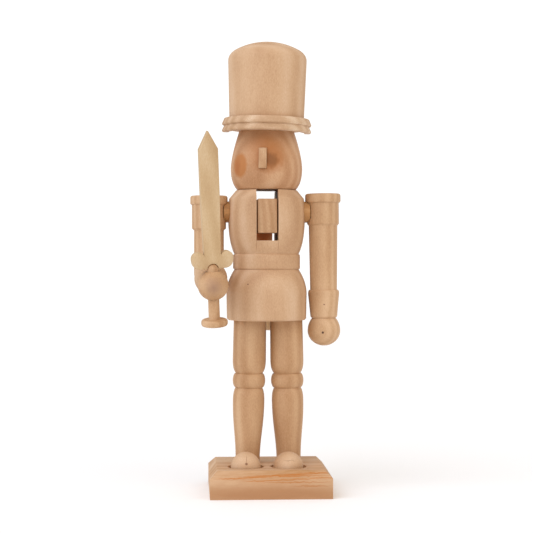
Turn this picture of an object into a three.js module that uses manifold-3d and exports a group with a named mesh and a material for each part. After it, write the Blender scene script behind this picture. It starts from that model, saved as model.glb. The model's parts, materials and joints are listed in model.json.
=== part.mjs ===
// Unpainted wooden nutcracker, 250 mm tall: a turned soldier on a chamfered block.
// Sizes are in millimetres. +Z is up, the figure faces -Y and its left side is at +X.
// The origin is the middle of the base's underside.
import * as THREE from "three";
import { mergeVertices } from "three/addons/utils/BufferGeometryUtils.js";
import Module from "manifold-3d";

// Clearances
const GLUE_GAP = 0.3; // glue line between two faces
const DOWEL_CLEARANCE = 0.2; // round a dowel or a peg in its hole, on the radius
const PIN_CLEARANCE = 0.25; // round the steel pin, on the radius
const JAW_SIDE_CLEARANCE = 0.65; // between the lever and each wall of the slot
const ARM_CLEARANCE = 0.3; // between a hanging arm and the body beside it
const STOP_CLEARANCE = 0.3; // left between jaw and head when the mouth is shut
const TAIL_CLEARANCE = 0.8; // left between tail and skirt when the mouth is shut

// Base
const BASE_WIDTH = 66;
const BASE_DEPTH = 62;
const BASE_HEIGHT = 15;
const BASE_CHAMFER = 4;

// Feet: balls sawn flat below, in shallow round recesses in front of the legs
const FOOT_RADIUS = 8.2;
const FOOT_SPREAD = 11.7; // from the middle between the feet to the ball's middle
const FOOT_SHIFT = -1.4; // both feet towards the figure's right
const FOOT_NEST = 0.5; // how far the ball's back is hollowed for the ankle
const FOOT_SINK = 0.2; // how far the ball's middle lies below the base's top
const RECESS_DEPTH = 1.5;
const RECESS_MARGIN = 1.6; // between the ball and the recess's wall

// Legs
const FIGURE_SETBACK = 3; // the figure's axis behind the middle of the base
const FIGURE_SHIFT = -0.9; // torso and all above it, towards the figure's right
const LEG_LENGTH = 79.2;
const LEG_STANCE = 11.5; // from the middle plane to the ankle
const LEG_SPLAY = 1; // degrees that each leg leans in at the top
const ANKLE_RADIUS = 6.7;
const CALF_RADIUS = 8.8;
const CALF_DROP = 7.2; // from the knee's lower groove down to the fullest calf
const KNEE_HEIGHT = 45.8; // middle of the knee bead above the ankle's end
const KNEE_BEAD_HEIGHT = 8;
const KNEE_BEAD_RADIUS = 9.05;
const KNEE_GROOVE_RADIUS = 7.4;
const KNEE_EASE = 2; // height over which calf and thigh slope towards the grooves
const THIGH_RADIUS = 9.25;
const THIGH_RISE = 7.4; // from the knee's upper groove up to the fullest thigh
const HIP_RADIUS = 9.05;
const ANKLE_DOWEL_RADIUS = 3;
const ANKLE_DOWEL_DEPTH = 9; // in the leg, and again in the base
const HIP_DOWEL_RADIUS = 4;
const HIP_DOWEL_DEPTH = 11; // in the leg, and again in the torso

// Torso, one turning
const HEM_RADIUS = 22.1;
const HEM_CHAMFER = 0.8;
const SKIRT_RADIUS = 22.4;
const SKIRT_FULL_HEIGHT = 14.5; // fullest skirt above the hem
const SKIRT_HEIGHT = 28.2;
const WAIST_RADIUS = 17.9;
const BELT_RADIUS = 18.7;
const BELT_HEIGHT = 8.4;
const BELT_ROUND = 1.5;
const CHEST_RADIUS = 21.4;
const CHEST_FULL_HEIGHT = 21; // fullest chest above the belt
const CHEST_HEIGHT = 35.5;
const SHOULDER_RADIUS = 20.8;
const SHOULDER_DROP = 4.6; // height of the sloping shoulder under the neck
const NECK_RADIUS = 17.05;
const SLOT_WIDTH = 12;
const SLOT_DEPTH = 28.1; // from the neck down to the slot's floor
const SLOT_SHIFT = -0.5; // slot and lever, towards the figure's right

// Jaw lever and its pin
const MOUTH_GAP = 5.2; // from the neck down to the jaw at rest
const JAW_HEIGHT = 18.8;
const JAW_DEPTH = 14; // front to back
const JAW_RECESS = 2.1; // the jaw's face behind the fullest chest
const JAW_SLOPE = 0.8; // how far the upper half of the jaw's face slopes back
const JAW_EDGE = 0.7; // chamfer round the lever's edges
const PIVOT_SETBACK = 15.8; // pin behind the figure's axis
const BAR_HEIGHT = 11; // bar from the jaw to the tail
const TAIL_THICKNESS = 8;
const TAIL_LENGTH = 71.8; // from the pin to the tail's end
const PIN_RADIUS = 1.5;
const PIN_INSET = 1; // pin's ends below the chest's surface

// Head and nose
const HEAD_HEIGHT = 32.8;
const HEAD_RADIUS = 19.9;
const CHIN_RADIUS = 16.3;
const CROWN_RADIUS = 15.2;
const CHEEK_HEIGHT = 11.5; // fullest part of the head above the chin
const NECK_DOWEL_RADIUS = 2;
const NECK_DOWEL_DEPTH = 8;
const NOSE_WIDTH = 4.3;
const NOSE_HEIGHT = 11.2;
const NOSE_RISE = 10.9; // lower end of the nose above the chin
const NOSE_TIP = 2.5; // lower end of the nose in front of the cheek
const NOSE_BRIDGE = 0.7; // upper end of the nose in front of the cheek
const NOSE_MORTISE = 4; // depth of the nose behind the cheek
const NOSE_TURN = 9; // degrees that the nose is set round to the figure's right

// Hat and visor
const HAT_HEIGHT = 49;
const HAT_RADIUS = 21.9;
const HAT_BAND_RADIUS = 20.6; // lower end
const HAT_LEAN = 0.8; // degrees that it leans towards the figure's left
const DOME_RADIUS = 17.5; // where the dome meets the rounded shoulder
const DOME_RISE = 4.4;
const HAT_SHOULDER_HEIGHT = 6.1; // rounded shoulder below the dome
const HAT_DOWEL_RADIUS = 4;
const HAT_DOWEL_DEPTH = 10;
const VISOR_RADIUS = 24.9; // lower edge of each of its two beads
const VISOR_EDGE_RADIUS = 23.7; // upper edge of each bead
const VISOR_HEIGHT = 7.8;
const VISOR_LOWER_BEAD = 3.7; // height of the lower bead
const VISOR_DROP = 1.7; // its lower face below the hat's
const VISOR_ROUND = 1.2;
const VISOR_TILT = 0.4; // degrees that it leans further than the hat

// Arms: what both share
const SHOULDER_AXIS_DROP = 12; // shoulder pegs below the neck
const BEAD_HEIGHT = 5.1;
const BEAD_ROUND = 1.4;
const SLEEVE_CHAMFER = 1.1;
const CUFF_LENGTH = 15.7;
const CUFF_ROUND = 2.2; // rounded upper edge of the cuff
const CUFF_TAPER = 1.1; // how much narrower the cuff is at the hand
const WRIST_RADIUS = 6.5; // groove between cuff and hand
const HAND_RISE = 7.2; // from the hand's middle up to the cuff
const ARM_FLAT_DEPTH = 1.7; // depth of the round seat cut into the sleeve
const CHEST_FLAT_DEPTH = 1.7; // depth of the round seat cut into the chest
const PEG_COLLAR_RADIUS = 5.9;
const PEG_TENON_RADIUS = 3;
const PEG_TENON_LENGTH = 7.5; // in the chest
const PEG_TAIL_LENGTH = 5; // in the arm

// Straight left arm
const LEFT_BEAD_RISE = 10.3; // top of the bead above the shoulder axis
const LEFT_BEAD_RADIUS = 9.9;
const LEFT_SLEEVE_LENGTH = 12.8;
const LEFT_SLEEVE_RADIUS = 8.9;
const LEFT_SHAFT_RADIUS = 8;
const LEFT_FOREARM_RADIUS = 7.5; // lower end of the shaft
const LEFT_SHAFT_LENGTH = 35.7;
const LEFT_CUFF_RADIUS = 8.7;
const LEFT_HAND_RADIUS = 9.1;
const LEFT_HAND_DROP = 8.4; // from the hand's middle down to its tip
const LEFT_ARM_LEAN = 0.5; // degrees that the arm hangs out from the body

// Bent right arm, turned from thicker stock
const RIGHT_BEAD_RISE = 9;
const RIGHT_BEAD_RADIUS = 10.4;
const RIGHT_SLEEVE_LENGTH = 14.2;
const RIGHT_SLEEVE_RADIUS = 9.5;
const RIGHT_SHAFT_RADIUS = 8.3;
const ELBOW_DROP = 33.9; // elbow below the shoulder axis
const ELBOW_BEND = 81; // degrees between the upper arm's line and the forearm
const FOREARM_REACH = 39.1; // from the elbow to the hand's middle
const RIGHT_CUFF_RADIUS = 9;
const RIGHT_HAND_RADIUS = 8.2;
const RIGHT_ARM_TURN = 2.4; // degrees that the forearm is turned inwards
const ELBOW_DOWEL_RADIUS = 2;
const ELBOW_DOWEL_DEPTH = 7; // each side of the mitre

// Sword, held upright in the right hand
const SWORD_LEAN = 2.7; // degrees that it leans out to the figure's right
const SWORD_TWIST = 11; // degrees that its face is turned towards the figure's left
const BLADE_LENGTH = 72.8; // from the guard's foot to the tip
const BLADE_POINT = 9.6; // length of the pointed end
const BLADE_WIDTH = 10.2;
const BLADE_ROOT_WIDTH = 9; // at the guard
const BLADE_TAPER = 30; // length that narrows towards the guard
const BLADE_THICKNESS = 3.8;
const BLADE_EDGE = 0.4; // chamfer round the blade's edges
const GUARD_WIDTH = 22.6;
const GUARD_LIFT = 0.8; // guard's foot above the hand
const GUARD_LOBE_RADIUS = 3.6;
const GUARD_LOBE_HEIGHT = 5.6; // middle of a lobe above the guard's foot
const GUARD_NOTCH_HEIGHT = 7.2; // notch between lobe and blade
const GUARD_FOOT_REACH = 6.3; // half the guard's straight foot
const GRIP_RADIUS = 3;
const GRIP_DOME = 2.6; // height of its domed upper end
const GRIP_DROP = 10.1; // from the hand down to the pommel
const POMMEL_RADIUS = 7.1;
const POMMEL_HEIGHT = 3.8;
const POMMEL_ROUND = 1.8;

// Facets
const LARGE_SIDES = 36;
const LIMB_SIDES = 24;
const SMALL_SIDES = 14;
const ARC_STEPS = 3; // points along each rounded stretch of a profile

// Finishes
const TURNED_WOOD = { color: 0xd2ac86, roughness: 0.62, metalness: 0 };
const ARM_WOOD = { color: 0xcfa57c, roughness: 0.62, metalness: 0 };
const PALE_WOOD = { color: 0xd6ba90, roughness: 0.66, metalness: 0 };
const BASE_WOOD = { color: 0xd2a878, roughness: 0.6, metalness: 0 };
const DOWEL_WOOD = { color: 0xcdb48e, roughness: 0.7, metalness: 0 };
const PIN_STEEL = { color: 0xb4b6b8, roughness: 0.35, metalness: 1 };

// Heights and places that follow from the sizes above
const LEG_FOOT_Z = BASE_HEIGHT + GLUE_GAP;
const HEM_Z = LEG_FOOT_Z + LEG_LENGTH + GLUE_GAP;
const BELT_Z = SKIRT_HEIGHT;
const CHEST_Z = BELT_Z + BELT_HEIGHT;
const NECK_Z = CHEST_Z + CHEST_HEIGHT;
const CHIN_Z = HEM_Z + NECK_Z + GLUE_GAP;
const HAT_TIP = CROWN_RADIUS * Math.sin(THREE.MathUtils.degToRad(HAT_LEAN)); // lift that keeps its gap
const HAT_Z = CHIN_Z + HEAD_HEIGHT + GLUE_GAP + HAT_TIP;
const SHOULDER_Z = HEM_Z + NECK_Z - SHOULDER_AXIS_DROP;
const PIVOT_DEPTH = MOUTH_GAP + BAR_HEIGHT / 2; // pin below the neck, in the bar's middle
const PIVOT_Z = HEM_Z + NECK_Z - PIVOT_DEPTH;
const CHEST_SEAT = CHEST_RADIUS - CHEST_FLAT_DEPTH;
const SIDES = { left: 1, right: -1 };
const ARM_AXIS = {
  left: ARM_CLEARANCE + Math.max(CHEST_RADIUS + LEFT_BEAD_RADIUS, SKIRT_RADIUS + LEFT_CUFF_RADIUS),
  right: ARM_CLEARANCE + CHEST_RADIUS + RIGHT_BEAD_RADIUS,
};
const ARM_SEAT = {
  left: ARM_AXIS.left - LEFT_SLEEVE_RADIUS + ARM_FLAT_DEPTH,
  right: ARM_AXIS.right - RIGHT_SLEEVE_RADIUS + ARM_FLAT_DEPTH,
};
const GUARD_FOOT = RIGHT_HAND_RADIUS + GUARD_LIFT;
const BEYOND = 2 * (CHEST_RADIUS + HEM_RADIUS); // a length that passes any piece it cuts

const radians = THREE.MathUtils.degToRad;
const wasm = await Module();
wasm.setup();

// Frames: every piece is placed in one of these groups
function frame(parent, position, rotation = [0, 0, 0]) {
  const group = new THREE.Group();
  group.position.set(...position);
  group.rotation.set(...rotation.map(radians));
  parent.add(group);
  return group;
}

const nutcracker = new THREE.Group();
nutcracker.name = "nutcracker";
const stance = frame(nutcracker, [0, FIGURE_SETBACK, 0]);
const figure = frame(stance, [FIGURE_SHIFT, 0, 0]);
const torsoFrame = frame(figure, [0, 0, HEM_Z]);
const headFrame = frame(figure, [0, 0, CHIN_Z]);
const noseFrame = frame(headFrame, [0, 0, NOSE_RISE], [0, 0, -NOSE_TURN]);
const hatFrame = frame(figure, [0, 0, HAT_Z], [0, HAT_LEAN, 0]);
const visorFrame = frame(hatFrame, [0, 0, -VISOR_DROP], [0, VISOR_TILT, 0]);
const leverFrame = frame(figure, [SLOT_SHIFT, PIVOT_SETBACK, PIVOT_Z]);
const legFrame = {};
const footFrame = {};
const pegFrame = {};
for (const [side, sign] of Object.entries(SIDES)) {
  const footForward = ANKLE_RADIUS + FOOT_RADIUS - FOOT_NEST;
  const footX = FOOT_SHIFT + sign * FOOT_SPREAD;
  legFrame[side] = frame(stance, [sign * LEG_STANCE, 0, LEG_FOOT_Z], [0, -sign * LEG_SPLAY, 0]);
  footFrame[side] = frame(stance, [footX, -footForward, BASE_HEIGHT - FOOT_SINK]);
  pegFrame[side] = frame(figure, [0, 0, SHOULDER_Z], [0, sign * 90, 0]);
}
const leftArmFrame = frame(figure, [ARM_AXIS.left, 0, SHOULDER_Z], [0, -LEFT_ARM_LEAN, 0]);
const rightArmFrame = frame(figure, [-ARM_AXIS.right, 0, SHOULDER_Z], [0, 0, RIGHT_ARM_TURN]);
const elbowFrame = frame(rightArmFrame, [0, 0, -ELBOW_DROP], [-ELBOW_BEND / 2, 0, 0]);
const forearmFrame = frame(rightArmFrame, [0, 0, -ELBOW_DROP], [-ELBOW_BEND, 0, 0]);
const swordFrame = frame(forearmFrame, [0, 0, -FOREARM_REACH], [90, -SWORD_LEAN, SWORD_TWIST]);
nutcracker.updateMatrixWorld(true);

// A closed geometry as a solid that can be joined and cut
function solid(geometry) {
  const bare = geometry.clone();
  bare.deleteAttribute("normal");
  bare.deleteAttribute("uv");
  const merged = mergeVertices(bare, 1e-4);
  const vertProperties = merged.getAttribute("position").array;
  const triVerts = new Uint32Array(merged.index.array);
  return new wasm.Manifold(new wasm.Mesh({ numProp: 3, vertProperties, triVerts }));
}

function geometryOf(made) {
  const mesh = made.getMesh();
  const geometry = new THREE.BufferGeometry();
  geometry.setAttribute("position", new THREE.BufferAttribute(mesh.vertProperties, 3));
  geometry.setIndex(new THREE.BufferAttribute(mesh.triVerts, 1));
  geometry.computeVertexNormals();
  return geometry;
}

// A geometry with others taken out of it, all in one frame
function cut(geometry, ...cutters) {
  const made = cutters.reduce((left, cutter) => left.subtract(solid(cutter)), solid(geometry));
  return geometryOf(made);
}

// A geometry drawn in one frame, seen from another
function seenFrom(target, source, geometry) {
  const matrix = target.matrixWorld.clone().invert().multiply(source.matrixWorld);
  return geometry.clone().applyMatrix4(matrix);
}

// A turning about Z, from a profile that runs up from the axis and back to it
function turned(profile, sides) {
  return new THREE.LatheGeometry(profile.getPoints(ARC_STEPS), sides).rotateX(Math.PI / 2);
}

// A round rod along Z between two heights
function rod(radius, low, high, sides = SMALL_SIDES) {
  const geometry = new THREE.CylinderGeometry(radius, radius, high - low, sides);
  return geometry.rotateX(Math.PI / 2).translate(0, 0, (low + high) / 2);
}

// The hole for a rod, with clearance all round
function boreFor(radius, low, high, clearance = DOWEL_CLEARANCE) {
  return rod(radius + clearance, low - GLUE_GAP, high + GLUE_GAP);
}

// A box between two corners
function box(low, high) {
  const size = high.map((value, i) => value - low[i]);
  const middle = high.map((value, i) => (value + low[i]) / 2);
  return new THREE.BoxGeometry(...size).translate(...middle);
}

// A flat outline cut from board, its edges chamfered, standing in XZ with its middle at Y = 0
function boardStanding(outline, thickness, edge) {
  const geometry = new THREE.ExtrudeGeometry(outline, {
    depth: thickness - 2 * edge,
    bevelEnabled: true,
    bevelThickness: edge,
    bevelSize: edge,
    bevelOffset: -edge,
    bevelSegments: 1,
    curveSegments: 2 * ARC_STEPS,
  });
  return geometry.translate(0, 0, edge - thickness / 2).rotateX(Math.PI / 2);
}

function piece(parent, name, geometry, finish) {
  const mesh = new THREE.Mesh(geometry, new THREE.MeshStandardMaterial(finish));
  mesh.name = name;
  parent.add(mesh);
}

// Dowels, each as a rod in the frame that carries it
const ankleDowel = [ANKLE_DOWEL_RADIUS, -GLUE_GAP - ANKLE_DOWEL_DEPTH, ANKLE_DOWEL_DEPTH];
const hipDowel = [
  HIP_DOWEL_RADIUS,
  LEG_LENGTH - HIP_DOWEL_DEPTH,
  LEG_LENGTH + GLUE_GAP + HIP_DOWEL_DEPTH,
];
const neckDowel = [NECK_DOWEL_RADIUS, -GLUE_GAP - NECK_DOWEL_DEPTH, NECK_DOWEL_DEPTH];
const hatDowel = [HAT_DOWEL_RADIUS, -GLUE_GAP - HAT_DOWEL_DEPTH, HAT_DOWEL_DEPTH];
const elbowDowel = [ELBOW_DOWEL_RADIUS, -ELBOW_DOWEL_DEPTH, ELBOW_DOWEL_DEPTH];
const neckDowelReach = (NECK_RADIUS + SLOT_WIDTH / 2) / 2; // middle of each cheek's top

// Base: a block whose upper edges are chamfered all round
function baseBlock() {
  const block = new THREE.BoxGeometry(BASE_WIDTH, BASE_DEPTH, 2, 1, 1, 2);
  const place = block.getAttribute("position");
  const heights = [0, BASE_HEIGHT - BASE_CHAMFER, BASE_HEIGHT];
  for (let i = 0; i < place.count; i += 1) {
    const level = Math.round(place.getZ(i)) + 1;
    const inset = level === 2 ? BASE_CHAMFER : 0;
    place.setX(i, place.getX(i) - Math.sign(place.getX(i)) * inset);
    place.setY(i, place.getY(i) - Math.sign(place.getY(i)) * inset);
    place.setZ(i, heights[level]);
  }
  return block;
}

function base() {
  const cutters = Object.keys(SIDES).flatMap((side) => {
    const recess = rod(FOOT_RADIUS + RECESS_MARGIN, FOOT_SINK - RECESS_DEPTH, BASE_HEIGHT, LIMB_SIDES);
    return [
      seenFrom(nutcracker, footFrame[side], recess),
      seenFrom(nutcracker, legFrame[side], boreFor(...ankleDowel)),
    ];
  });
  return cut(baseBlock(), ...cutters);
}

// Leg profile, with every radius made larger by grow
function legProfile(grow = 0) {
  const lowerGroove = KNEE_HEIGHT - KNEE_BEAD_HEIGHT / 2;
  const upperGroove = KNEE_HEIGHT + KNEE_BEAD_HEIGHT / 2;
  const calf = lowerGroove - CALF_DROP;
  const groove = KNEE_GROOVE_RADIUS + grow;
  const quarter = Math.PI / 2;
  const line = new THREE.Path();
  line.moveTo(0, 0);
  line.lineTo(ANKLE_RADIUS + grow, 0);
  line.bezierCurveTo(
    ANKLE_RADIUS + grow, calf * 0.4,
    CALF_RADIUS + grow, calf * 0.58,
    CALF_RADIUS + grow, calf,
  );
  line.quadraticCurveTo(CALF_RADIUS + grow, lowerGroove - KNEE_EASE, groove, lowerGroove);
  line.absellipse(
    groove, KNEE_HEIGHT,
    KNEE_BEAD_RADIUS - KNEE_GROOVE_RADIUS, KNEE_BEAD_HEIGHT / 2,
    -quarter, quarter,
  );
  line.quadraticCurveTo(
    THIGH_RADIUS + grow, upperGroove + KNEE_EASE,
    THIGH_RADIUS + grow, upperGroove + THIGH_RISE,
  );
  line.lineTo(HIP_RADIUS + grow, LEG_LENGTH);
  line.lineTo(0, LEG_LENGTH);
  return line;
}

function leg() {
  return cut(turned(legProfile(), LIMB_SIDES), boreFor(...ankleDowel), boreFor(...hipDowel));
}

// Foot: a ball with a sawn flat, hollowed at the back to clear the ankle
function foot(side) {
  const flat = RECESS_DEPTH - FOOT_SINK - GLUE_GAP;
  const line = new THREE.Path();
  line.moveTo(0, -flat);
  line.lineTo(Math.sqrt(FOOT_RADIUS ** 2 - flat ** 2), -flat);
  line.absarc(0, 0, FOOT_RADIUS, -Math.asin(flat / FOOT_RADIUS), Math.PI / 2);
  const ball = turned(line, LIMB_SIDES);
  const ankle = turned(legProfile(GLUE_GAP), LIMB_SIDES).translate(0, 0, -GLUE_GAP);
  return cut(ball, seenFrom(footFrame[side], legFrame[side], ankle));
}

// Torso: skirt, belt and chest in one turning
function torsoProfile() {
  const line = new THREE.Path();
  line.moveTo(0, 0);
  line.lineTo(HEM_RADIUS - HEM_CHAMFER, 0);
  line.lineTo(HEM_RADIUS, HEM_CHAMFER);
  line.lineTo(SKIRT_RADIUS, SKIRT_FULL_HEIGHT);
  line.quadraticCurveTo(SKIRT_RADIUS, (SKIRT_FULL_HEIGHT + BELT_Z) / 2, WAIST_RADIUS, BELT_Z);
  line.quadraticCurveTo(BELT_RADIUS, BELT_Z, BELT_RADIUS, BELT_Z + BELT_ROUND);
  line.lineTo(BELT_RADIUS, CHEST_Z - BELT_ROUND);
  line.quadraticCurveTo(BELT_RADIUS, CHEST_Z, WAIST_RADIUS, CHEST_Z);
  line.quadraticCurveTo(
    CHEST_RADIUS, CHEST_Z + CHEST_FULL_HEIGHT / 3,
    CHEST_RADIUS, CHEST_Z + CHEST_FULL_HEIGHT,
  );
  line.quadraticCurveTo(
    CHEST_RADIUS, (CHEST_Z + CHEST_FULL_HEIGHT + NECK_Z - SHOULDER_DROP) / 2,
    SHOULDER_RADIUS, NECK_Z - SHOULDER_DROP,
  );
  line.lineTo(NECK_RADIUS, NECK_Z);
  line.lineTo(0, NECK_Z);
  return line;
}

function torso() {
  const half = SLOT_WIDTH / 2;
  const floor = NECK_Z - SLOT_DEPTH;
  const slot = box([SLOT_SHIFT - half, -BEYOND, floor], [SLOT_SHIFT + half, BEYOND, NECK_Z + BEYOND]);
  const pin = rod(PIN_RADIUS + PIN_CLEARANCE, -BEYOND, BEYOND, LIMB_SIDES).rotateY(Math.PI / 2);
  const cutters = [slot, seenFrom(torsoFrame, leverFrame, pin)];
  for (const [side, sign] of Object.entries(SIDES)) {
    const neck = boreFor(...neckDowel).translate(sign * neckDowelReach, 0, 0);
    const tenon = boreFor(PEG_TENON_RADIUS, CHEST_SEAT - PEG_TENON_LENGTH, BEYOND);
    const seat = rod(PEG_COLLAR_RADIUS + DOWEL_CLEARANCE, CHEST_SEAT, BEYOND, LIMB_SIDES);
    cutters.push(
      seenFrom(torsoFrame, legFrame[side], boreFor(...hipDowel)),
      seenFrom(torsoFrame, headFrame, neck),
      seenFrom(torsoFrame, pegFrame[side], tenon),
      seenFrom(torsoFrame, pegFrame[side], seat),
    );
  }
  return cut(turned(torsoProfile(), LARGE_SIDES), ...cutters);
}

// Angle that the lever turns from rest until the jaw's front edge meets the head
function shutAngle() {
  const reach = CHEST_RADIUS - JAW_RECESS - JAW_SLOPE + PIVOT_SETBACK;
  const rise = BAR_HEIGHT / 2;
  const limit = PIVOT_DEPTH + GLUE_GAP - STOP_CLEARANCE;
  return Math.asin(limit / Math.hypot(reach, rise)) - Math.atan2(rise, reach);
}

// Lever outline in its own frame: x runs back from the pin, y runs up
function leverOutline() {
  const face = -(CHEST_RADIUS - JAW_RECESS + PIVOT_SETBACK);
  const half = BAR_HEIGHT / 2;
  const jawFoot = half - JAW_HEIGHT;
  const jawBack = face + JAW_DEPTH;
  // The tail stands upright beside the skirt when the mouth is shut, so it leans back at rest.
  const lean = shutAngle();
  const tailPoint = (x, y) => new THREE.Vector2(x, y).rotateAround(new THREE.Vector2(), lean);
  const inner = SKIRT_RADIUS + TAIL_CLEARANCE - PIVOT_SETBACK;
  const outer = inner + TAIL_THICKNESS;
  const round = TAIL_THICKNESS / 2;
  const tipMiddle = tailPoint(inner + round, round - TAIL_LENGTH);
  const crook = (half + inner * Math.sin(lean)) / Math.cos(lean);
  const outerTop = tailPoint(outer, half - outer * Math.tan(lean));
  const shape = new THREE.Shape();
  shape.moveTo(face, jawFoot);
  shape.lineTo(jawBack, jawFoot);
  shape.quadraticCurveTo(jawBack, -half, jawBack + JAW_DEPTH / 2, -half);
  shape.lineTo(...tailPoint(inner, -crook).toArray());
  shape.lineTo(...tailPoint(inner, round - TAIL_LENGTH).toArray());
  shape.absarc(tipMiddle.x, tipMiddle.y, round, Math.PI + lean, 2 * Math.PI + lean);
  shape.lineTo(...tailPoint(outer, -half).toArray());
  shape.quadraticCurveTo(outerTop.x, outerTop.y, outerTop.x - TAIL_THICKNESS, half);
  shape.lineTo(face + JAW_SLOPE, half);
  shape.lineTo(face, half - JAW_HEIGHT / 2);
  shape.closePath();
  return shape;
}

function jawLever() {
  const board = boardStanding(leverOutline(), SLOT_WIDTH - 2 * JAW_SIDE_CLEARANCE, JAW_EDGE);
  const hole = rod(PIN_RADIUS + PIN_CLEARANCE, -BEYOND, BEYOND, LIMB_SIDES).rotateY(Math.PI / 2);
  return cut(board.rotateZ(Math.PI / 2), hole);
}

function jawPin() {
  const reach = Math.sqrt(CHEST_RADIUS ** 2 - PIVOT_SETBACK ** 2) - PIN_INSET;
  return rod(PIN_RADIUS, -reach, reach, LIMB_SIDES).rotateY(Math.PI / 2);
}

function head() {
  const line = new THREE.Path();
  line.moveTo(0, 0);
  line.lineTo(CHIN_RADIUS, 0);
  line.quadraticCurveTo(HEAD_RADIUS, CHEEK_HEIGHT / 3, HEAD_RADIUS, CHEEK_HEIGHT);
  line.quadraticCurveTo(HEAD_RADIUS, (2 * CHEEK_HEIGHT + HEAD_HEIGHT) / 3, CROWN_RADIUS, HEAD_HEIGHT);
  line.lineTo(0, HEAD_HEIGHT);
  const half = NOSE_WIDTH / 2 + GLUE_GAP;
  const back = NOSE_MORTISE + GLUE_GAP - HEAD_RADIUS;
  const mortise = box([-half, -BEYOND, -GLUE_GAP], [half, back, NOSE_HEIGHT + GLUE_GAP]);
  return cut(
    turned(line, LARGE_SIDES),
    boreFor(...neckDowel).translate(neckDowelReach, 0, 0),
    boreFor(...neckDowel).translate(-neckDowelReach, 0, 0),
    seenFrom(headFrame, hatFrame, boreFor(...hatDowel)),
    seenFrom(headFrame, noseFrame, mortise),
  );
}

// Nose: a wedge whose lower end stands further out
function nose() {
  const shape = new THREE.Shape();
  shape.moveTo(NOSE_MORTISE - HEAD_RADIUS, 0);
  shape.lineTo(NOSE_MORTISE - HEAD_RADIUS, NOSE_HEIGHT);
  shape.lineTo(-HEAD_RADIUS - NOSE_BRIDGE, NOSE_HEIGHT);
  shape.lineTo(-HEAD_RADIUS - NOSE_TIP, 0);
  shape.closePath();
  const block = new THREE.ExtrudeGeometry(shape, { depth: NOSE_WIDTH, bevelEnabled: false });
  return block.translate(0, 0, -NOSE_WIDTH / 2).rotateX(Math.PI / 2).rotateZ(Math.PI / 2);
}

function hat() {
  const domeFoot = HAT_HEIGHT - DOME_RISE;
  const shoulder = domeFoot - HAT_SHOULDER_HEIGHT;
  const ball = (DOME_RADIUS ** 2 + DOME_RISE ** 2) / (2 * DOME_RISE);
  const edge = Math.asin(DOME_RADIUS / ball);
  const line = new THREE.Path();
  line.moveTo(0, 0);
  line.lineTo(HAT_BAND_RADIUS, 0);
  line.lineTo(HAT_RADIUS, shoulder);
  line.quadraticCurveTo(
    HAT_RADIUS, domeFoot - (HAT_RADIUS - DOME_RADIUS) * Math.tan(edge),
    DOME_RADIUS, domeFoot,
  );
  line.absarc(0, HAT_HEIGHT - ball, ball, Math.PI / 2 - edge, Math.PI / 2);
  return cut(turned(line, LARGE_SIDES), boreFor(...hatDowel));
}

// Visor: two stacked beads round the front half of the hat
function hatVisor() {
  const slope = (HAT_RADIUS - HAT_BAND_RADIUS) / (HAT_HEIGHT - DOME_RISE - HAT_SHOULDER_HEIGHT);
  const inner = HAT_BAND_RADIUS + slope * (VISOR_HEIGHT - VISOR_DROP) + GLUE_GAP;
  const line = new THREE.Path();
  line.moveTo(inner, 0);
  line.lineTo(VISOR_RADIUS - VISOR_ROUND, 0);
  line.quadraticCurveTo(VISOR_RADIUS, 0, VISOR_RADIUS, VISOR_ROUND);
  line.lineTo(VISOR_EDGE_RADIUS, VISOR_LOWER_BEAD);
  line.quadraticCurveTo(VISOR_RADIUS, VISOR_LOWER_BEAD, VISOR_RADIUS, VISOR_LOWER_BEAD + VISOR_ROUND);
  line.lineTo(VISOR_EDGE_RADIUS, VISOR_HEIGHT);
  line.lineTo(inner, VISOR_HEIGHT);
  line.lineTo(inner, 0);
  const rear = box([-BEYOND, 0, -BEYOND], [BEYOND, BEYOND, BEYOND]);
  return cut(turned(line, LARGE_SIDES), rear);
}

// Hand and cuff of an arm, drawn upwards from the hand's tip; the hand's middle is at height middle
function drawHand(line, middle, handRadius, handDrop, cuffRadius) {
  const wrist = middle + HAND_RISE;
  const stretch = HAND_RISE / Math.sqrt(1 - (WRIST_RADIUS / handRadius) ** 2);
  const cuffTop = wrist + CUFF_LENGTH;
  line.moveTo(0, middle - handDrop);
  line.absellipse(0, middle, handRadius, handDrop, -Math.PI / 2, 0);
  line.absellipse(0, middle, handRadius, stretch, 0, Math.asin(HAND_RISE / stretch));
  line.quadraticCurveTo(cuffRadius - CUFF_TAPER, wrist, cuffRadius - CUFF_TAPER, wrist + CUFF_ROUND);
  line.lineTo(cuffRadius, cuffTop - CUFF_ROUND);
  return cuffTop;
}

// Sleeve and shoulder bead of an arm, drawn upwards from the shaft
function drawShoulder(line, top, sleeveLength, shaftRadius, sleeveRadius, beadRadius) {
  const beadFoot = top - BEAD_HEIGHT;
  const sleeveFoot = beadFoot - sleeveLength;
  line.lineTo(shaftRadius, sleeveFoot);
  line.lineTo(sleeveRadius, sleeveFoot + SLEEVE_CHAMFER);
  line.lineTo(sleeveRadius, beadFoot);
  line.quadraticCurveTo(beadRadius, beadFoot, beadRadius, beadFoot + BEAD_ROUND);
  line.lineTo(beadRadius, top - BEAD_ROUND);
  line.quadraticCurveTo(beadRadius, top, beadRadius - BEAD_ROUND, top);
  line.lineTo(0, top);
}

// Cutters for the shoulder peg, in the arm's frame
function pegHoles(side, armFrame) {
  const tenon = boreFor(PEG_TENON_RADIUS, CHEST_SEAT, ARM_SEAT[side] + PEG_TAIL_LENGTH);
  const seat = rod(PEG_COLLAR_RADIUS + DOWEL_CLEARANCE, CHEST_SEAT, ARM_SEAT[side], LIMB_SIDES);
  return [tenon, seat].map((cutter) => seenFrom(armFrame, pegFrame[side], cutter));
}

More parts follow.
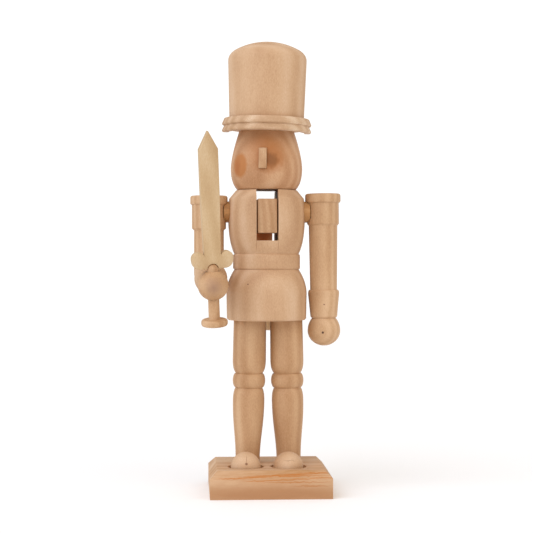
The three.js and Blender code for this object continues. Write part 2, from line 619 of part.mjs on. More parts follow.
// Shoulder peg: a collar between the two seats, with a tenon at each end
function shoulderPeg(side) {
  const collarStart = CHEST_SEAT + GLUE_GAP;
  const collarEnd = ARM_SEAT[side] - GLUE_GAP;
  const line = new THREE.Path();
  line.moveTo(0, CHEST_SEAT - PEG_TENON_LENGTH);
  line.lineTo(PEG_TENON_RADIUS, CHEST_SEAT - PEG_TENON_LENGTH);
  line.lineTo(PEG_TENON_RADIUS, collarStart);
  line.lineTo(PEG_COLLAR_RADIUS, collarStart);
  line.lineTo(PEG_COLLAR_RADIUS, collarEnd);
  line.lineTo(PEG_TENON_RADIUS, collarEnd);
  line.lineTo(PEG_TENON_RADIUS, ARM_SEAT[side] + PEG_TAIL_LENGTH);
  line.lineTo(0, ARM_SEAT[side] + PEG_TAIL_LENGTH);
  return turned(line, LIMB_SIDES);
}

function leftArm() {
  const shaftFoot = LEFT_BEAD_RISE - BEAD_HEIGHT - LEFT_SLEEVE_LENGTH - LEFT_SHAFT_LENGTH;
  const middle = shaftFoot - CUFF_LENGTH - HAND_RISE;
  const line = new THREE.Path();
  const cuffTop = drawHand(line, middle, LEFT_HAND_RADIUS, LEFT_HAND_DROP, LEFT_CUFF_RADIUS);
  line.quadraticCurveTo(LEFT_CUFF_RADIUS, cuffTop, LEFT_FOREARM_RADIUS, cuffTop);
  drawShoulder(
    line, LEFT_BEAD_RISE, LEFT_SLEEVE_LENGTH,
    LEFT_SHAFT_RADIUS, LEFT_SLEEVE_RADIUS, LEFT_BEAD_RADIUS,
  );
  return cut(turned(line, LIMB_SIDES), ...pegHoles("left", leftArmFrame));
}

// One side of the mitred elbow, in the elbow's frame
function mitre(side) {
  const low = side === "upper" ? -BEYOND : -GLUE_GAP / 2;
  const high = side === "upper" ? GLUE_GAP / 2 : BEYOND;
  return box([-BEYOND, -BEYOND, low], [BEYOND, BEYOND, high]);
}

function rightUpperArm() {
  const line = new THREE.Path();
  line.moveTo(0, -ELBOW_DROP - 2 * RIGHT_SHAFT_RADIUS);
  line.lineTo(RIGHT_SHAFT_RADIUS, -ELBOW_DROP - 2 * RIGHT_SHAFT_RADIUS);
  drawShoulder(
    line, RIGHT_BEAD_RISE, RIGHT_SLEEVE_LENGTH,
    RIGHT_SHAFT_RADIUS, RIGHT_SLEEVE_RADIUS, RIGHT_BEAD_RADIUS,
  );
  return cut(
    turned(line, LIMB_SIDES),
    seenFrom(rightArmFrame, elbowFrame, mitre("upper")),
    seenFrom(rightArmFrame, elbowFrame, boreFor(...elbowDowel)),
    ...pegHoles("right", rightArmFrame),
  );
}

function rightForearm() {
  const line = new THREE.Path();
  const hand = [RIGHT_HAND_RADIUS, RIGHT_HAND_RADIUS, RIGHT_CUFF_RADIUS];
  const cuffTop = drawHand(line, -FOREARM_REACH, ...hand);
  line.quadraticCurveTo(RIGHT_CUFF_RADIUS, cuffTop, RIGHT_SHAFT_RADIUS, cuffTop);
  line.lineTo(RIGHT_SHAFT_RADIUS, 2 * RIGHT_SHAFT_RADIUS);
  line.lineTo(0, 2 * RIGHT_SHAFT_RADIUS);
  const gripHole = rod(GRIP_RADIUS + DOWEL_CLEARANCE, -BEYOND, BEYOND);
  return cut(
    turned(line, LIMB_SIDES),
    seenFrom(forearmFrame, elbowFrame, mitre("fore")),
    seenFrom(forearmFrame, elbowFrame, boreFor(...elbowDowel)),
    seenFrom(forearmFrame, swordFrame, gripHole),
  );
}

// Blade and guard in one board: the guard's foot arches over the grip's domed end
function swordBlade() {
  const lobeX = GUARD_WIDTH / 2 - GUARD_LOBE_RADIUS;
  const lobeZ = GUARD_FOOT + GUARD_LOBE_HEIGHT;
  const root = BLADE_ROOT_WIDTH / 2;
  const point = GUARD_FOOT + BLADE_LENGTH;
  const notch = GUARD_FOOT + GUARD_NOTCH_HEIGHT;
  const lobeEnd = radians(130);
  const shape = new THREE.Shape();
  shape.moveTo(GUARD_FOOT_REACH, GUARD_FOOT);
  shape.quadraticCurveTo(GUARD_WIDTH / 2, GUARD_FOOT, GUARD_WIDTH / 2, lobeZ);
  shape.absarc(lobeX, lobeZ, GUARD_LOBE_RADIUS, 0, lobeEnd);
  shape.lineTo(root, notch);
  shape.lineTo(BLADE_WIDTH / 2, notch + BLADE_TAPER);
  shape.lineTo(BLADE_WIDTH / 2, point - BLADE_POINT);
  shape.lineTo(0, point);
  shape.lineTo(-BLADE_WIDTH / 2, point - BLADE_POINT);
  shape.lineTo(-BLADE_WIDTH / 2, notch + BLADE_TAPER);
  shape.lineTo(-root, notch);
  shape.absarc(-lobeX, lobeZ, GUARD_LOBE_RADIUS, Math.PI - lobeEnd, Math.PI);
  shape.quadraticCurveTo(-GUARD_WIDTH / 2, GUARD_FOOT, -GUARD_FOOT_REACH, GUARD_FOOT);
  shape.lineTo(-GRIP_RADIUS - GLUE_GAP, GUARD_FOOT);
  shape.absellipse(0, GUARD_FOOT, GRIP_RADIUS + GLUE_GAP, GRIP_DOME + GLUE_GAP, Math.PI, 0, true);
  shape.closePath();
  return boardStanding(shape, BLADE_THICKNESS, BLADE_EDGE);
}

// Grip: a peg through the hand, with a domed upper end and a pommel below
function swordGrip() {
  const pommelTop = -RIGHT_HAND_RADIUS - GRIP_DROP;
  const pommelFoot = pommelTop - POMMEL_HEIGHT;
  const line = new THREE.Path();
  line.moveTo(0, pommelFoot);
  line.lineTo(POMMEL_RADIUS - POMMEL_ROUND, pommelFoot);
  line.quadraticCurveTo(POMMEL_RADIUS, pommelFoot, POMMEL_RADIUS, pommelFoot + POMMEL_ROUND);
  line.lineTo(POMMEL_RADIUS, pommelTop - POMMEL_ROUND);
  line.quadraticCurveTo(POMMEL_RADIUS, pommelTop, POMMEL_RADIUS - POMMEL_ROUND, pommelTop);
  line.lineTo(GRIP_RADIUS, pommelTop);
  line.lineTo(GRIP_RADIUS, GUARD_FOOT);
  line.absellipse(0, GUARD_FOOT, GRIP_RADIUS, GRIP_DOME, 0, Math.PI / 2);
  return turned(line, SMALL_SIDES);
}

piece(nutcracker, "base", base(), BASE_WOOD);
for (const [side, sign] of Object.entries(SIDES)) {
  piece(footFrame[side], `${side}_foot`, foot(side), TURNED_WOOD);
  piece(legFrame[side], `${side}_leg`, leg(), TURNED_WOOD);
  piece(legFrame[side], `${side}_ankle_dowel`, rod(...ankleDowel), DOWEL_WOOD);
  piece(legFrame[side], `${side}_hip_dowel`, rod(...hipDowel), DOWEL_WOOD);
  const neck = rod(...neckDowel).translate(sign * neckDowelReach, 0, 0);
  piece(headFrame, `${side}_neck_dowel`, neck, DOWEL_WOOD);
  piece(pegFrame[side], `${side}_shoulder_peg`, shoulderPeg(side), DOWEL_WOOD);
}
piece(torsoFrame, "torso", torso(), TURNED_WOOD);
piece(leverFrame, "jaw_lever", jawLever(), PALE_WOOD);
piece(leverFrame, "jaw_pin", jawPin(), PIN_STEEL);
piece(headFrame, "head", head(), TURNED_WOOD);
piece(noseFrame, "nose", nose(), PALE_WOOD);
piece(hatFrame, "hat", hat(), TURNED_WOOD);
piece(hatFrame, "hat_dowel", rod(...hatDowel), DOWEL_WOOD);
piece(visorFrame, "hat_visor", hatVisor(), PALE_WOOD);
piece(leftArmFrame, "left_arm", leftArm(), ARM_WOOD);
piece(rightArmFrame, "right_upper_arm", rightUpperArm(), ARM_WOOD);
piece(elbowFrame, "elbow_dowel", rod(...elbowDowel), DOWEL_WOOD);
piece(forearmFrame, "right_forearm", rightForearm(), ARM_WOOD);
piece(swordFrame, "sword_blade", swordBlade(), PALE_WOOD);
piece(swordFrame, "sword_grip", swordGrip(), TURNED_WOOD);

export default nutcracker;
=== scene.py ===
# %% [markdown]
# # An unpainted wooden nutcracker
#
# This is the plain wooden soldier that is sold for painting at home, about 25 cm tall. Nearly every
# piece of it comes off a lathe, so most of this lesson is about drawing half of an outline and spinning
# it. The frame that is loaded first holds every place, size and joint. The pieces made here stand in
# those places and give the looks.

import json
from math import asin, atan2, cos, degrees, hypot, radians, sin, sqrt, tan

import bmesh
import bpy
from mathutils import Matrix, Vector


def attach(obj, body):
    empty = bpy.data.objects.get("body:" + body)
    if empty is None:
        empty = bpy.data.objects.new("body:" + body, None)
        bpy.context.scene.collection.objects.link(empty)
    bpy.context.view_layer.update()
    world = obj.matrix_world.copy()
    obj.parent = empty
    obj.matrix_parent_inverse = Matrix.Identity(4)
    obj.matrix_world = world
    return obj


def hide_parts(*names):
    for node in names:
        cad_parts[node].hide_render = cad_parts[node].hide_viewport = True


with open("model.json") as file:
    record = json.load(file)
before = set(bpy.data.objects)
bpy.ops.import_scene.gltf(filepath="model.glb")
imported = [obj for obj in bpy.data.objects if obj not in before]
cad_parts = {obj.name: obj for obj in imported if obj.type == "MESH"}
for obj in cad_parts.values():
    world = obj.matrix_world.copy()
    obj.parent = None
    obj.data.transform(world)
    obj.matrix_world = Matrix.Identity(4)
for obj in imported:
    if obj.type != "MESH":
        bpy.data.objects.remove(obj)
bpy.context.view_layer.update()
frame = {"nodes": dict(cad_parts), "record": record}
bodies = frame["record"]["behaviour"]["bodies"]
body_of = {node: body for body, nodes in bodies.items() for node in nodes}

# %% [markdown]
# ## Camera
#
# The photograph was taken from the front, a few degrees round to the figure's right, with the lens
# about level with the belt. The small arch of each round edge shows how far away the lens was: a long
# lens from under a metre. The camera could be aimed with a constraint, but plain angles are easier to
# check against the picture.

# %% Camera
MM = 0.001
FIGURE_X, FIGURE_Y = -0.9, 3  # the figure's axis from the middle of the base, in mm
VIEW_DISTANCE, VIEW_HEIGHT = 782, 129.3
VIEW_ROUND, VIEW_DOWN = radians(3.2), radians(0.35)
bpy.ops.object.camera_add(
    location=(
        (FIGURE_X - VIEW_DISTANCE * sin(VIEW_ROUND)) * MM,
        (FIGURE_Y - VIEW_DISTANCE * cos(VIEW_ROUND)) * MM,
        VIEW_HEIGHT * MM,
    ),
    rotation=(radians(90) - VIEW_DOWN, 0, -VIEW_ROUND),
)
camera = bpy.context.object
camera.data.lens = 94.6
camera.data.sensor_width = 36
bpy.context.scene.camera = camera
print("camera at", [round(value, 3) for value in camera.location])

# %% [markdown]
# ## Light and floor
#
# The photograph is a bright studio picture: white all round, a broad cool light from the upper left, a
# weaker warm one from the right and only a faint shadow at the base. A white world gives the light from
# all round, two broad soft suns give the directions, and a plain pale floor catches the shadow. Area
# lamps would do as well, but suns need no distance. The standard view transform keeps white as white.

# %% Light and floor
def linear(code):
    """An sRGB hex colour as the linear colour that a shader wants."""
    parts = [int(code[i:i + 2], 16) / 255 for i in (1, 3, 5)]
    return [p / 12.92 if p <= 0.04045 else ((p + 0.055) / 1.055) ** 2.4 for p in parts] + [1]


def add(tree, kind, inputs=None, **settings):
    """Adds a node, sets it, and links or fills its inputs."""
    node = tree.nodes.new(kind)
    for name, value in settings.items():
        setattr(node, name, value)
    for name, value in (inputs or {}).items():
        if isinstance(value, bpy.types.NodeSocket):
            tree.links.new(value, node.inputs[name])
        else:
            node.inputs[name].default_value = value
    return node


scene = bpy.context.scene
scene.view_settings.view_transform = "Standard"
scene.world = bpy.data.worlds.new("white studio")
scene.world.use_nodes = True
studio = scene.world.node_tree
LIGHT_GIVEN, LIGHT_SEEN = 0.71, 1.1  # what lights the figure, and the purer white behind it
seen = add(studio, "ShaderNodeLightPath").outputs["Is Camera Ray"]
strength = add(studio, "ShaderNodeMapRange", {
    "Value": seen, "To Min": LIGHT_GIVEN, "To Max": LIGHT_SEEN,
}).outputs["Result"]
studio.links.new(strength, studio.nodes["Background"].inputs["Strength"])
warm = add(studio, "ShaderNodeMix", {0: seen, 6: linear("#FFFCF8"), 7: linear("#FFFFFF")}, data_type="RGBA")
studio.links.new(warm.outputs[2], studio.nodes["Background"].inputs["Color"])

SUN_SPREAD = radians(60)
suns = (
    ("key", 50, -48, 1.6, "#E9F0FF"),
    ("fill", 56, 38, 0.6, "#FFEBD6"),
)
for name, tilt, bearing, energy, tint in suns:
    bpy.ops.object.light_add(type="SUN", rotation=(radians(tilt), 0, radians(bearing)))
    sun = bpy.context.object
    sun.name = name
    sun.data.energy = energy
    sun.data.angle = SUN_SPREAD
    sun.data.color = linear(tint)[:3]

bpy.ops.mesh.primitive_plane_add(size=6)
floor = bpy.context.object
floor.name = "floor"
floor_paper = bpy.data.materials.new("white paper")
floor_paper.use_nodes = True
paper = floor_paper.node_tree.nodes["Principled BSDF"]
paper.inputs["Base Color"].default_value = linear("#FFFFFF")
paper.inputs["Roughness"].default_value = 0.9
floor.data.materials.append(floor_paper)
print("light: white world and", len(suns), "soft suns")

# %% [markdown]
# ## Drawing half an outline and spinning it
#
# A wood turner cuts against half a template, and the spin tool does the same: a line of points is
# extruded one after another beside the axis, and spinning sweeps it round. A screw modifier would do it
# as well, but spin leaves a mesh that can be cut straight away. Bends and arcs are worked out as points
# first, so the edge stays smooth.

# %% Drawing helpers
SAME_POINT = 0.002 * MM


def bend(start, control, end, count=10):
    """Points of a smooth bend, without its start."""
    steps = [i / count for i in range(1, count + 1)]
    return [
        tuple((1 - t) ** 2 * a + 2 * t * (1 - t) * b + t * t * c for a, b, c in zip(start, control, end))
        for t in steps
    ]


def arc(middle, radii, first, last, count=12):
    """Points of an arc between two angles in degrees."""
    angles = [radians(first + (last - first) * i / count) for i in range(count + 1)]
    return [(middle[0] + radii[0] * cos(a), middle[1] + radii[1] * sin(a)) for a in angles]


def merge():
    """Joins points that fall together, drops empty faces and turns all faces outwards, in edit mode."""
    bpy.ops.mesh.select_all(action="SELECT")
    bpy.ops.mesh.remove_doubles(threshold=SAME_POINT)
    bpy.ops.mesh.dissolve_degenerate(threshold=SAME_POINT)
    bpy.ops.mesh.normals_make_consistent(inside=False)


def pick(piece):
    """Selects one piece and nothing else."""
    bpy.ops.object.select_all(action="DESELECT")
    piece.select_set(True)
    bpy.context.view_layer.objects.active = piece


def draw(name, line):
    """A chain of points in the XZ plane, in mm, left open in edit mode."""
    bpy.ops.object.select_all(action="DESELECT")
    bpy.ops.mesh.primitive_plane_add(size=MM)
    piece = bpy.context.object
    piece.name = piece.data.name = name
    bpy.ops.object.mode_set(mode="EDIT")
    bpy.ops.mesh.merge(type="CENTER")
    bpy.ops.transform.translate(value=(line[0][0] * MM, 0, line[0][1] * MM))
    for (x0, z0), (x1, z1) in zip(line, line[1:]):
        step = ((x1 - x0) * MM, 0, (z1 - z0) * MM)
        bpy.ops.mesh.extrude_vertices_move(TRANSFORM_OT_translate={"value": step})
    bpy.ops.mesh.select_all(action="SELECT")
    return piece


def turn(name, line, steps=96, sweep=360):
    """A turning about Z from half an outline in mm."""
    piece = draw(name, line)
    bpy.ops.mesh.spin(steps=steps, angle=radians(sweep), center=(0, 0, 0), axis=(0, 0, 1))
    bpy.ops.mesh.select_all(action="SELECT")
    bpy.ops.mesh.remove_doubles(threshold=SAME_POINT)
    if sweep < 360:
        bpy.ops.mesh.select_all(action="DESELECT")
        bpy.ops.mesh.select_non_manifold()
        bpy.ops.mesh.fill_holes(sides=0)
        bpy.ops.mesh.select_all(action="SELECT")
    bpy.ops.mesh.normals_make_consistent(inside=False)
    bpy.ops.object.mode_set(mode="OBJECT")
    return piece


print("drawing helpers ready")

# %% [markdown]
# ## Sawing, carving and rounding
#
# The lever, the nose and the sword are sawn from board: their outline is drawn, filled and extruded to
# the board's thickness. Slots, seats and recesses are carved with a boolean, which is how a drill or
# saw meets a turning. Last, a narrow bevel takes the sharpness off each edge, because sandpaper does,
# and such an edge catches the light.

# %% Sawing, carving and rounding
def at(x, y, z):
    """A move in mm."""
    return Matrix.Translation((x * MM, y * MM, z * MM))


def turned(axis, angle):
    """A turn in degrees."""
    return Matrix.Rotation(radians(angle), 4, axis)


def saw(name, line, thickness):
    """A board in the XZ plane, its middle at Y = 0, from a closed outline in mm."""
    piece = draw(name, line)
    bpy.ops.mesh.remove_doubles(threshold=SAME_POINT)
    bpy.ops.mesh.edge_face_add()
    bpy.ops.transform.translate(value=(0, -thickness / 2 * MM, 0))
    bpy.ops.mesh.extrude_region_move(TRANSFORM_OT_translate={"value": (0, thickness * MM, 0)})
    bpy.ops.mesh.select_all(action="SELECT")
    bpy.ops.mesh.normals_make_consistent(inside=False)
    bpy.ops.object.mode_set(mode="OBJECT")
    return piece


def carve(piece, cutter):
    """Takes the cutter's shape out of a piece, and removes the cutter."""
    pick(piece)
    cutting = piece.modifiers.new("carved", "BOOLEAN")
    cutting.operation = "DIFFERENCE"
    cutting.solver = "EXACT"
    cutting.object = cutter
    bpy.ops.object.modifier_apply(modifier=cutting.name)
    bpy.data.objects.remove(cutter)


def drill(radius, depth, where):
    """A round cutter along Z from the origin of a placing matrix, in mm."""
    bpy.ops.object.select_all(action="DESELECT")
    bpy.ops.mesh.primitive_cylinder_add(vertices=64, radius=radius * MM, depth=depth * MM)
    cutter = bpy.context.object
    cutter.matrix_world = where @ at(0, 0, depth / 2)
    return cutter


def block(low, high):
    """A square cutter between two corners in mm."""
    bpy.ops.object.select_all(action="DESELECT")
    size = [(b - a) * MM for a, b in zip(low, high)]
    middle = [(a + b) / 2 * MM for a, b in zip(low, high)]
    bpy.ops.mesh.primitive_cube_add(size=1, location=middle, scale=size)
    return bpy.context.object


def ease(piece, width, corner=35, segments=2):
    """Rounds every edge that is sharper than the corner angle, and smooths what is flatter."""
    pick(piece)
    bevel = piece.modifiers.new("eased edges", "BEVEL")
    bevel.width = width * MM
    bevel.segments = segments
    bevel.limit_method = "ANGLE"
    bevel.angle_limit = radians(corner)
    bpy.ops.object.modifier_apply(modifier=bevel.name)
    bpy.ops.object.mode_set(mode="EDIT")
    merge()
    bpy.ops.object.mode_set(mode="OBJECT")
    bpy.ops.object.shade_smooth_by_angle(angle=radians(corner))


print("saw, carve and ease ready")

# %% [markdown]
# ## Placing a piece
#
# Each piece is made where it is easiest, about its own axis, and then moved into place. Its place is
# applied to the mesh, so that the object itself stays at the origin and the wood's grain keeps its
# position. The piece then rides on the body that the frame gives its node, and the node is no longer
# shown.

# %% Placing helpers
def settle(piece, node, finish, where):
    """Puts a finished piece in the place of a node, with its finish."""
    piece.matrix_world = where
    pick(piece)
    bpy.ops.object.transform_apply(location=True, rotation=True, scale=True)
    piece.data.materials.clear()
    piece.data.materials.append(finish)
    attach(piece, body_of[node])
    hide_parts(node)
    corners = [Vector(corner) for corner in piece.bound_box]
    size = [round((max(c[i] for c in corners) - min(c[i] for c in corners)) / MM, 1) for i in range(3)]
    print(piece.name, "is", size, "mm with", len(piece.data.polygons), "faces")


stance = at(0, FIGURE_Y, 0)
figure = at(FIGURE_X, FIGURE_Y, 0)
print("the figure's axis is at", (FIGURE_X, FIGURE_Y), "mm")

# %% [markdown]
# ## Birch, turned and sanded
#
# Birch is pale and even, with soft growth rings, fine fibres along the grain and small flecks. Bare
# sanding leaves it matt, so it looks soft and warm and has no glints. Every piece is cut from its own
# place in a log, so one function builds the finish and each piece gives the place of the pith, the
# log's centre, and its own marks. The rings are circles round the pith, stretched along it.

# %% Birch
def birch(name, pith, lean=(0, 0, 0), tones=("#B28862", "#C59F7A", "#D3B291"), rings=4, streaks=0.14,
          marks=()):
    """Bare sanded wood. pith is a point on the log's axis in mm, and lean turns that axis away from Z.
    rings is the ring's width in mm, and streaks the fibres' share of the pattern. Each mark is a knot, a
    speck or a patch of painted light or shade: its middle and radii in mm, its colour, and how strongly and
    how raggedly it shows."""
    finish = bpy.data.materials.new(name)
    finish.use_nodes = True
    tree = finish.node_tree
    wood = tree.nodes["Principled BSDF"]
    wood.inputs["IOR"].default_value = 1.5
    here = add(tree, "ShaderNodeTexCoord").outputs["Object"]
    log = add(tree, "ShaderNodeMapping", {
        "Vector": here,
        "Location": [value * MM for value in pith],
        "Rotation": [radians(value) for value in lean],
    }, vector_type="TEXTURE").outputs["Vector"]
    along = add(tree, "ShaderNodeMapping", {"Vector": log, "Scale": (1, 1, 0.09)}).outputs["Vector"]
    # Wave rings repeat every 0.314 / scale metres.
    ring = add(tree, "ShaderNodeTexWave", {
        "Vector": along, "Scale": 0.314 / (rings * MM), "Distortion": 5.0, "Detail": 2.0,
        "Detail Scale": 0.35,
    }, wave_type="RINGS", rings_direction="Z").outputs["Fac"]
    # Fibres are really about 0.05 mm wide. They are drawn 0.7 mm wide so that they show.
    fibre = add(tree, "ShaderNodeTexNoise", {
        "Vector": along, "Scale": 1 / (0.7 * MM), "Detail": 4.0, "Roughness": 0.65,
    }).outputs["Fac"]
    fleck = add(tree, "ShaderNodeTexNoise", {
        "Vector": add(tree, "ShaderNodeMapping", {"Vector": log, "Scale": (1, 1, 0.4)}).outputs["Vector"],
        "Scale": 1 / (0.45 * MM), "Detail": 3.0,
    }).outputs["Fac"]
    drift = add(tree, "ShaderNodeTexNoise", {
        "Vector": add(tree, "ShaderNodeMapping", {"Vector": log, "Scale": (1, 1, 0.35)}).outputs["Vector"],
        "Scale": 1 / (17 * MM), "Detail": 2.0, "Roughness": 0.5,
    }).outputs["Fac"]
    # Each pattern swings about a half, so the weights add up to a whole and the middle tone rules.
    grain = add(tree, "ShaderNodeMath", {0: drift, 1: 0.46}, operation="MULTIPLY").outputs[0]
    for pattern, weight in ((ring, 0.12), (fibre, streaks), (fleck, 0.42 - streaks)):
        grain = add(tree, "ShaderNodeMath", {0: pattern, 1: weight, 2: grain},
                    operation="MULTIPLY_ADD").outputs[0]
    ramp = add(tree, "ShaderNodeValToRGB", {"Fac": grain})
    ramp.color_ramp.elements.new(0.5)
    for stop, place, tone in zip(ramp.color_ramp.elements, (0.34, 0.5, 0.66), tones):
        stop.position = place
        stop.color = linear(tone)
    colour = ramp.outputs["Color"]
    for middle, radii, tint, force, ragged in marks:
        wander = add(tree, "ShaderNodeTexNoise", {"Vector": here, "Scale": 1 / (2.5 * MM)}).outputs["Color"]
        shift = add(tree, "ShaderNodeVectorMath", {0: wander, 1: [0.5] * 3},
                    operation="SUBTRACT").outputs[0]
        frayed = add(tree, "ShaderNodeVectorMath", {0: shift, 1: [ragged * MM] * 3, 2: here},
                     operation="MULTIPLY_ADD").outputs[0]
        spot = add(tree, "ShaderNodeMapping", {
            "Vector": frayed,
            "Location": [value * MM for value in middle],
            "Scale": [value * MM for value in radii],
        }, vector_type="TEXTURE").outputs["Vector"]
        ball = add(tree, "ShaderNodeTexGradient", {"Vector": spot},
                   gradient_type="SPHERICAL").outputs["Fac"]
        share = add(tree, "ShaderNodeMath", {0: ball, 1: force},
                    operation="MULTIPLY", use_clamp=True).outputs[0]
        colour = add(tree, "ShaderNodeMix", {0: share, 6: colour, 7: linear(tint)},
                     data_type="RGBA").outputs[2]
    tree.links.new(colour, wood.inputs["Base Color"])
    matt = add(tree, "ShaderNodeMapRange", {
        "Value": fibre, "To Min": 0.5, "To Max": 0.75,
    }).outputs["Result"]
    tree.links.new(matt, wood.inputs["Roughness"])
    relief = add(tree, "ShaderNodeBump", {
        "Height": fibre, "Strength": 0.12, "Distance": 0.15 * MM,
    }).outputs["Normal"]
    tree.links.new(relief, wood.inputs["Normal"])
    return finish


print("birch ready")

# %% [markdown]
# ## Base of pine
#
# The block is sawn from pine with the grain running from side to side. Its upper edge is cut off all
# round at 45 degrees, and two shallow round recesses take the feet. A cube with four bevelled edges
# gives the block, and drills carve the recesses. The pine's orange summer rings show as streaks along
# the front, and a wide mark of painted shade darkens the front face towards its foot.

# %% Base
# Sizes are in mm. A piece's plain name, such as FOOT or ANKLE, is its radius, and _Z is a place along Z.
GLUE = 0.3  # the gap that a line of glue fills
BASE_WIDTH, BASE_DEPTH, BASE_HEIGHT, BASE_CHAMFER = 66, 62, 15, 4
FOOT, FOOT_SPREAD, FOOT_SINK, FOOT_NEST = 8.2, 11.7, 0.2, 0.5
ANKLE, STANCE = 6.7, 11.5
RECESS_ROOM, RECESS_DEPTH = 1.6, 1.5
FOOT_X, FOOT_Y = -1.4, FIGURE_Y - (ANKLE + FOOT - FOOT_NEST)
base = block((-BASE_WIDTH / 2, -BASE_DEPTH / 2, 0), (BASE_WIDTH / 2, BASE_DEPTH / 2, BASE_HEIGHT))
base.name = base.data.name = "base_block"
pick(base)
bpy.ops.object.transform_apply(location=True, rotation=True, scale=True)
bpy.ops.object.mode_set(mode="EDIT")
mesh = bmesh.from_edit_mesh(base.data)
for edge in mesh.edges:
    edge.select_set(all(corner.co.z > (BASE_HEIGHT - 1) * MM for corner in edge.verts))
bmesh.update_edit_mesh(base.data)
bpy.ops.mesh.bevel(offset=BASE_CHAMFER * MM, segments=1, affect="EDGES")
bpy.ops.object.mode_set(mode="OBJECT")
for side in (1, -1):
    recess_place = at(FOOT_X + side * FOOT_SPREAD, FOOT_Y, BASE_HEIGHT - RECESS_DEPTH)
    carve(base, drill(FOOT + RECESS_ROOM, 20, recess_place))
ease(base, 0.35)

# Pine is yellower than birch, and its dense summer wood shows as narrow orange streaks.
SUMMER = "#B5702F"
pine_streaks_and_front_shade = [
    ((8, -29.3, 12.4), (30, 3, 0.5), SUMMER, 1.2, 1.5),
    ((12, -31, 9.2), (22, 2, 0.5), SUMMER, 1.2, 1.5),
    ((21, -31, 7.2), (13, 2, 0.6), SUMMER, 1.2, 1.5),
    ((-19, -31, 2.4), (10, 2, 0.4), SUMMER, 1.2, 1.2),
    ((-6, -31, 1.4), (9, 2, 0.3), SUMMER, 1.0, 1.0),
    ((27, -12, 15), (26, 1.2, 2), SUMMER, 0.7, 1.0),
    # Painted shade: this wide mark darkens the front face towards its foot.
    ((0, -31.5, 3), (90, 4, 9), "#AC7D54", 1.3, 1.0),
]
for step in range(5):
    upper = (-20 + 11 * step, -30.7 + 0.6 * step, 11.3 + 0.6 * step)
    lower = (-8 + 9 * step, -31 + 0.2 * step, 10 + 0.35 * step)
    pine_streaks_and_front_shade.append((upper, (12, 2, 0.5), SUMMER, 1.3, 1.2))
    pine_streaks_and_front_shade.append((lower, (10, 2, 0.4), SUMMER, 1.1, 1.2))
pine = birch(
    "planed pine, base", pith=(0, 30, -46), lean=(0, 88, 3), rings=6, streaks=0.34,
    tones=("#B28354", "#C59C75", "#D3B18C"),
    marks=pine_streaks_and_front_shade,
)
settle(base, "base", pine, Matrix.Identity(4))

# %% [markdown]
# ## Feet
#
# Each foot is a turned ball, sawn flat below and hollowed a little behind, where the leg passes. A
# sphere is cut by bisect, which leaves the flat closed, and a drill as wide as the ankle hollows the
# back.

# %% Feet
def ball_foot(name):
    """A ball with its flat a line of glue above the recess's floor."""
    bpy.ops.object.select_all(action="DESELECT")
    bpy.ops.mesh.primitive_uv_sphere_add(segments=64, ring_count=32, radius=FOOT * MM)
    foot = bpy.context.object
    foot.name = foot.data.name = name
    flat = (0, 0, (FOOT_SINK + GLUE - RECESS_DEPTH) * MM)
    bpy.ops.object.mode_set(mode="EDIT")
    bpy.ops.mesh.select_all(action="SELECT")
    bpy.ops.mesh.bisect(plane_co=flat, plane_no=(0, 0, 1), use_fill=True, clear_inner=True)
    bpy.ops.object.mode_set(mode="OBJECT")
    return foot


foot_marks = {
    1: [((10.3, -19.3, 19), (5, 4, 0.35), "#9C7656", 1.1, 2.5)],
    -1: [
        ((-13, -19.3, 17.5), (0.9, 2.5, 0.9), "#7D5436", 2, 0.3),
        ((-13, -18.5, 20), (0.3, 4, 4), "#A37B5C", 1.2, 0.4),
    ],
}
for side, word in ((1, "left"), (-1, "right")):
    foot = ball_foot(f"{word}_foot_ball")
    foot_place = at(FOOT_X + side * FOOT_SPREAD, FOOT_Y, BASE_HEIGHT - FOOT_SINK)
    ankle = drill(ANKLE + GLUE, 40, foot_place.inverted() @ at(side * STANCE, FIGURE_Y, 0))
    carve(foot, ankle)
    ease(foot, 0.2)
    foot_wood = birch(
        f"sanded birch, {word} foot", pith=(side * 11, 20, 5), lean=(80, 4, side * 5), rings=14,
        marks=foot_marks[side],
    )
    settle(foot, f"{word}_foot", foot_wood, foot_place)

# %% [markdown]
# ## Legs
#
# One template serves both legs: a slim ankle, a full calf, a round bead for the knee between two sharp
# grooves, and a straight thigh. The leg is turned once and copied, each copy with its own mesh, and the
# two lean in a degree.

# %% Legs
LEG_LENGTH, LEG_SPLAY = 79.2, 1
CALF, GROOVE, KNEE, THIGH, HIP = 8.8, 7.4, 9.05, 9.25, 9.05
CALF_Z, KNEE_Z, THIGH_Z = 34.6, 45.8, 57.2
KNEE_HALF, KNEE_EASE = 4, 2
low_groove, high_groove = KNEE_Z - KNEE_HALF, KNEE_Z + KNEE_HALF
calf_stops = ((ANKLE, 0), (ANKLE, 13.8), (CALF, 20.1), (CALF, CALF_Z))
leg_line = [(0, 0), (ANKLE, 0)]
for t in [i / 18 for i in range(1, 19)]:
    weights = ((1 - t) ** 3, 3 * t * (1 - t) ** 2, 3 * t * t * (1 - t), t ** 3)
    leg_line.append(tuple(sum(w * stop[i] for w, stop in zip(weights, calf_stops)) for i in (0, 1)))
leg_line += bend((CALF, CALF_Z), (CALF, low_groove - KNEE_EASE), (GROOVE, low_groove), 12)
leg_line += arc((GROOVE, KNEE_Z), (KNEE - GROOVE, KNEE_HALF), -90, 90, 20)
leg_line += bend((GROOVE, high_groove), (THIGH, high_groove + KNEE_EASE), (THIGH, THIGH_Z), 12)
leg_line += [(9.19, 64), (9.12, 72), (HIP, LEG_LENGTH), (0, LEG_LENGTH)]
leg = turn("left_leg_turning", leg_line)
ease(leg, 0.15, corner=40)
pick(leg)
bpy.ops.object.duplicate(linked=False)
other_leg = bpy.context.object
other_leg.name = other_leg.data.name = "right_leg_turning"
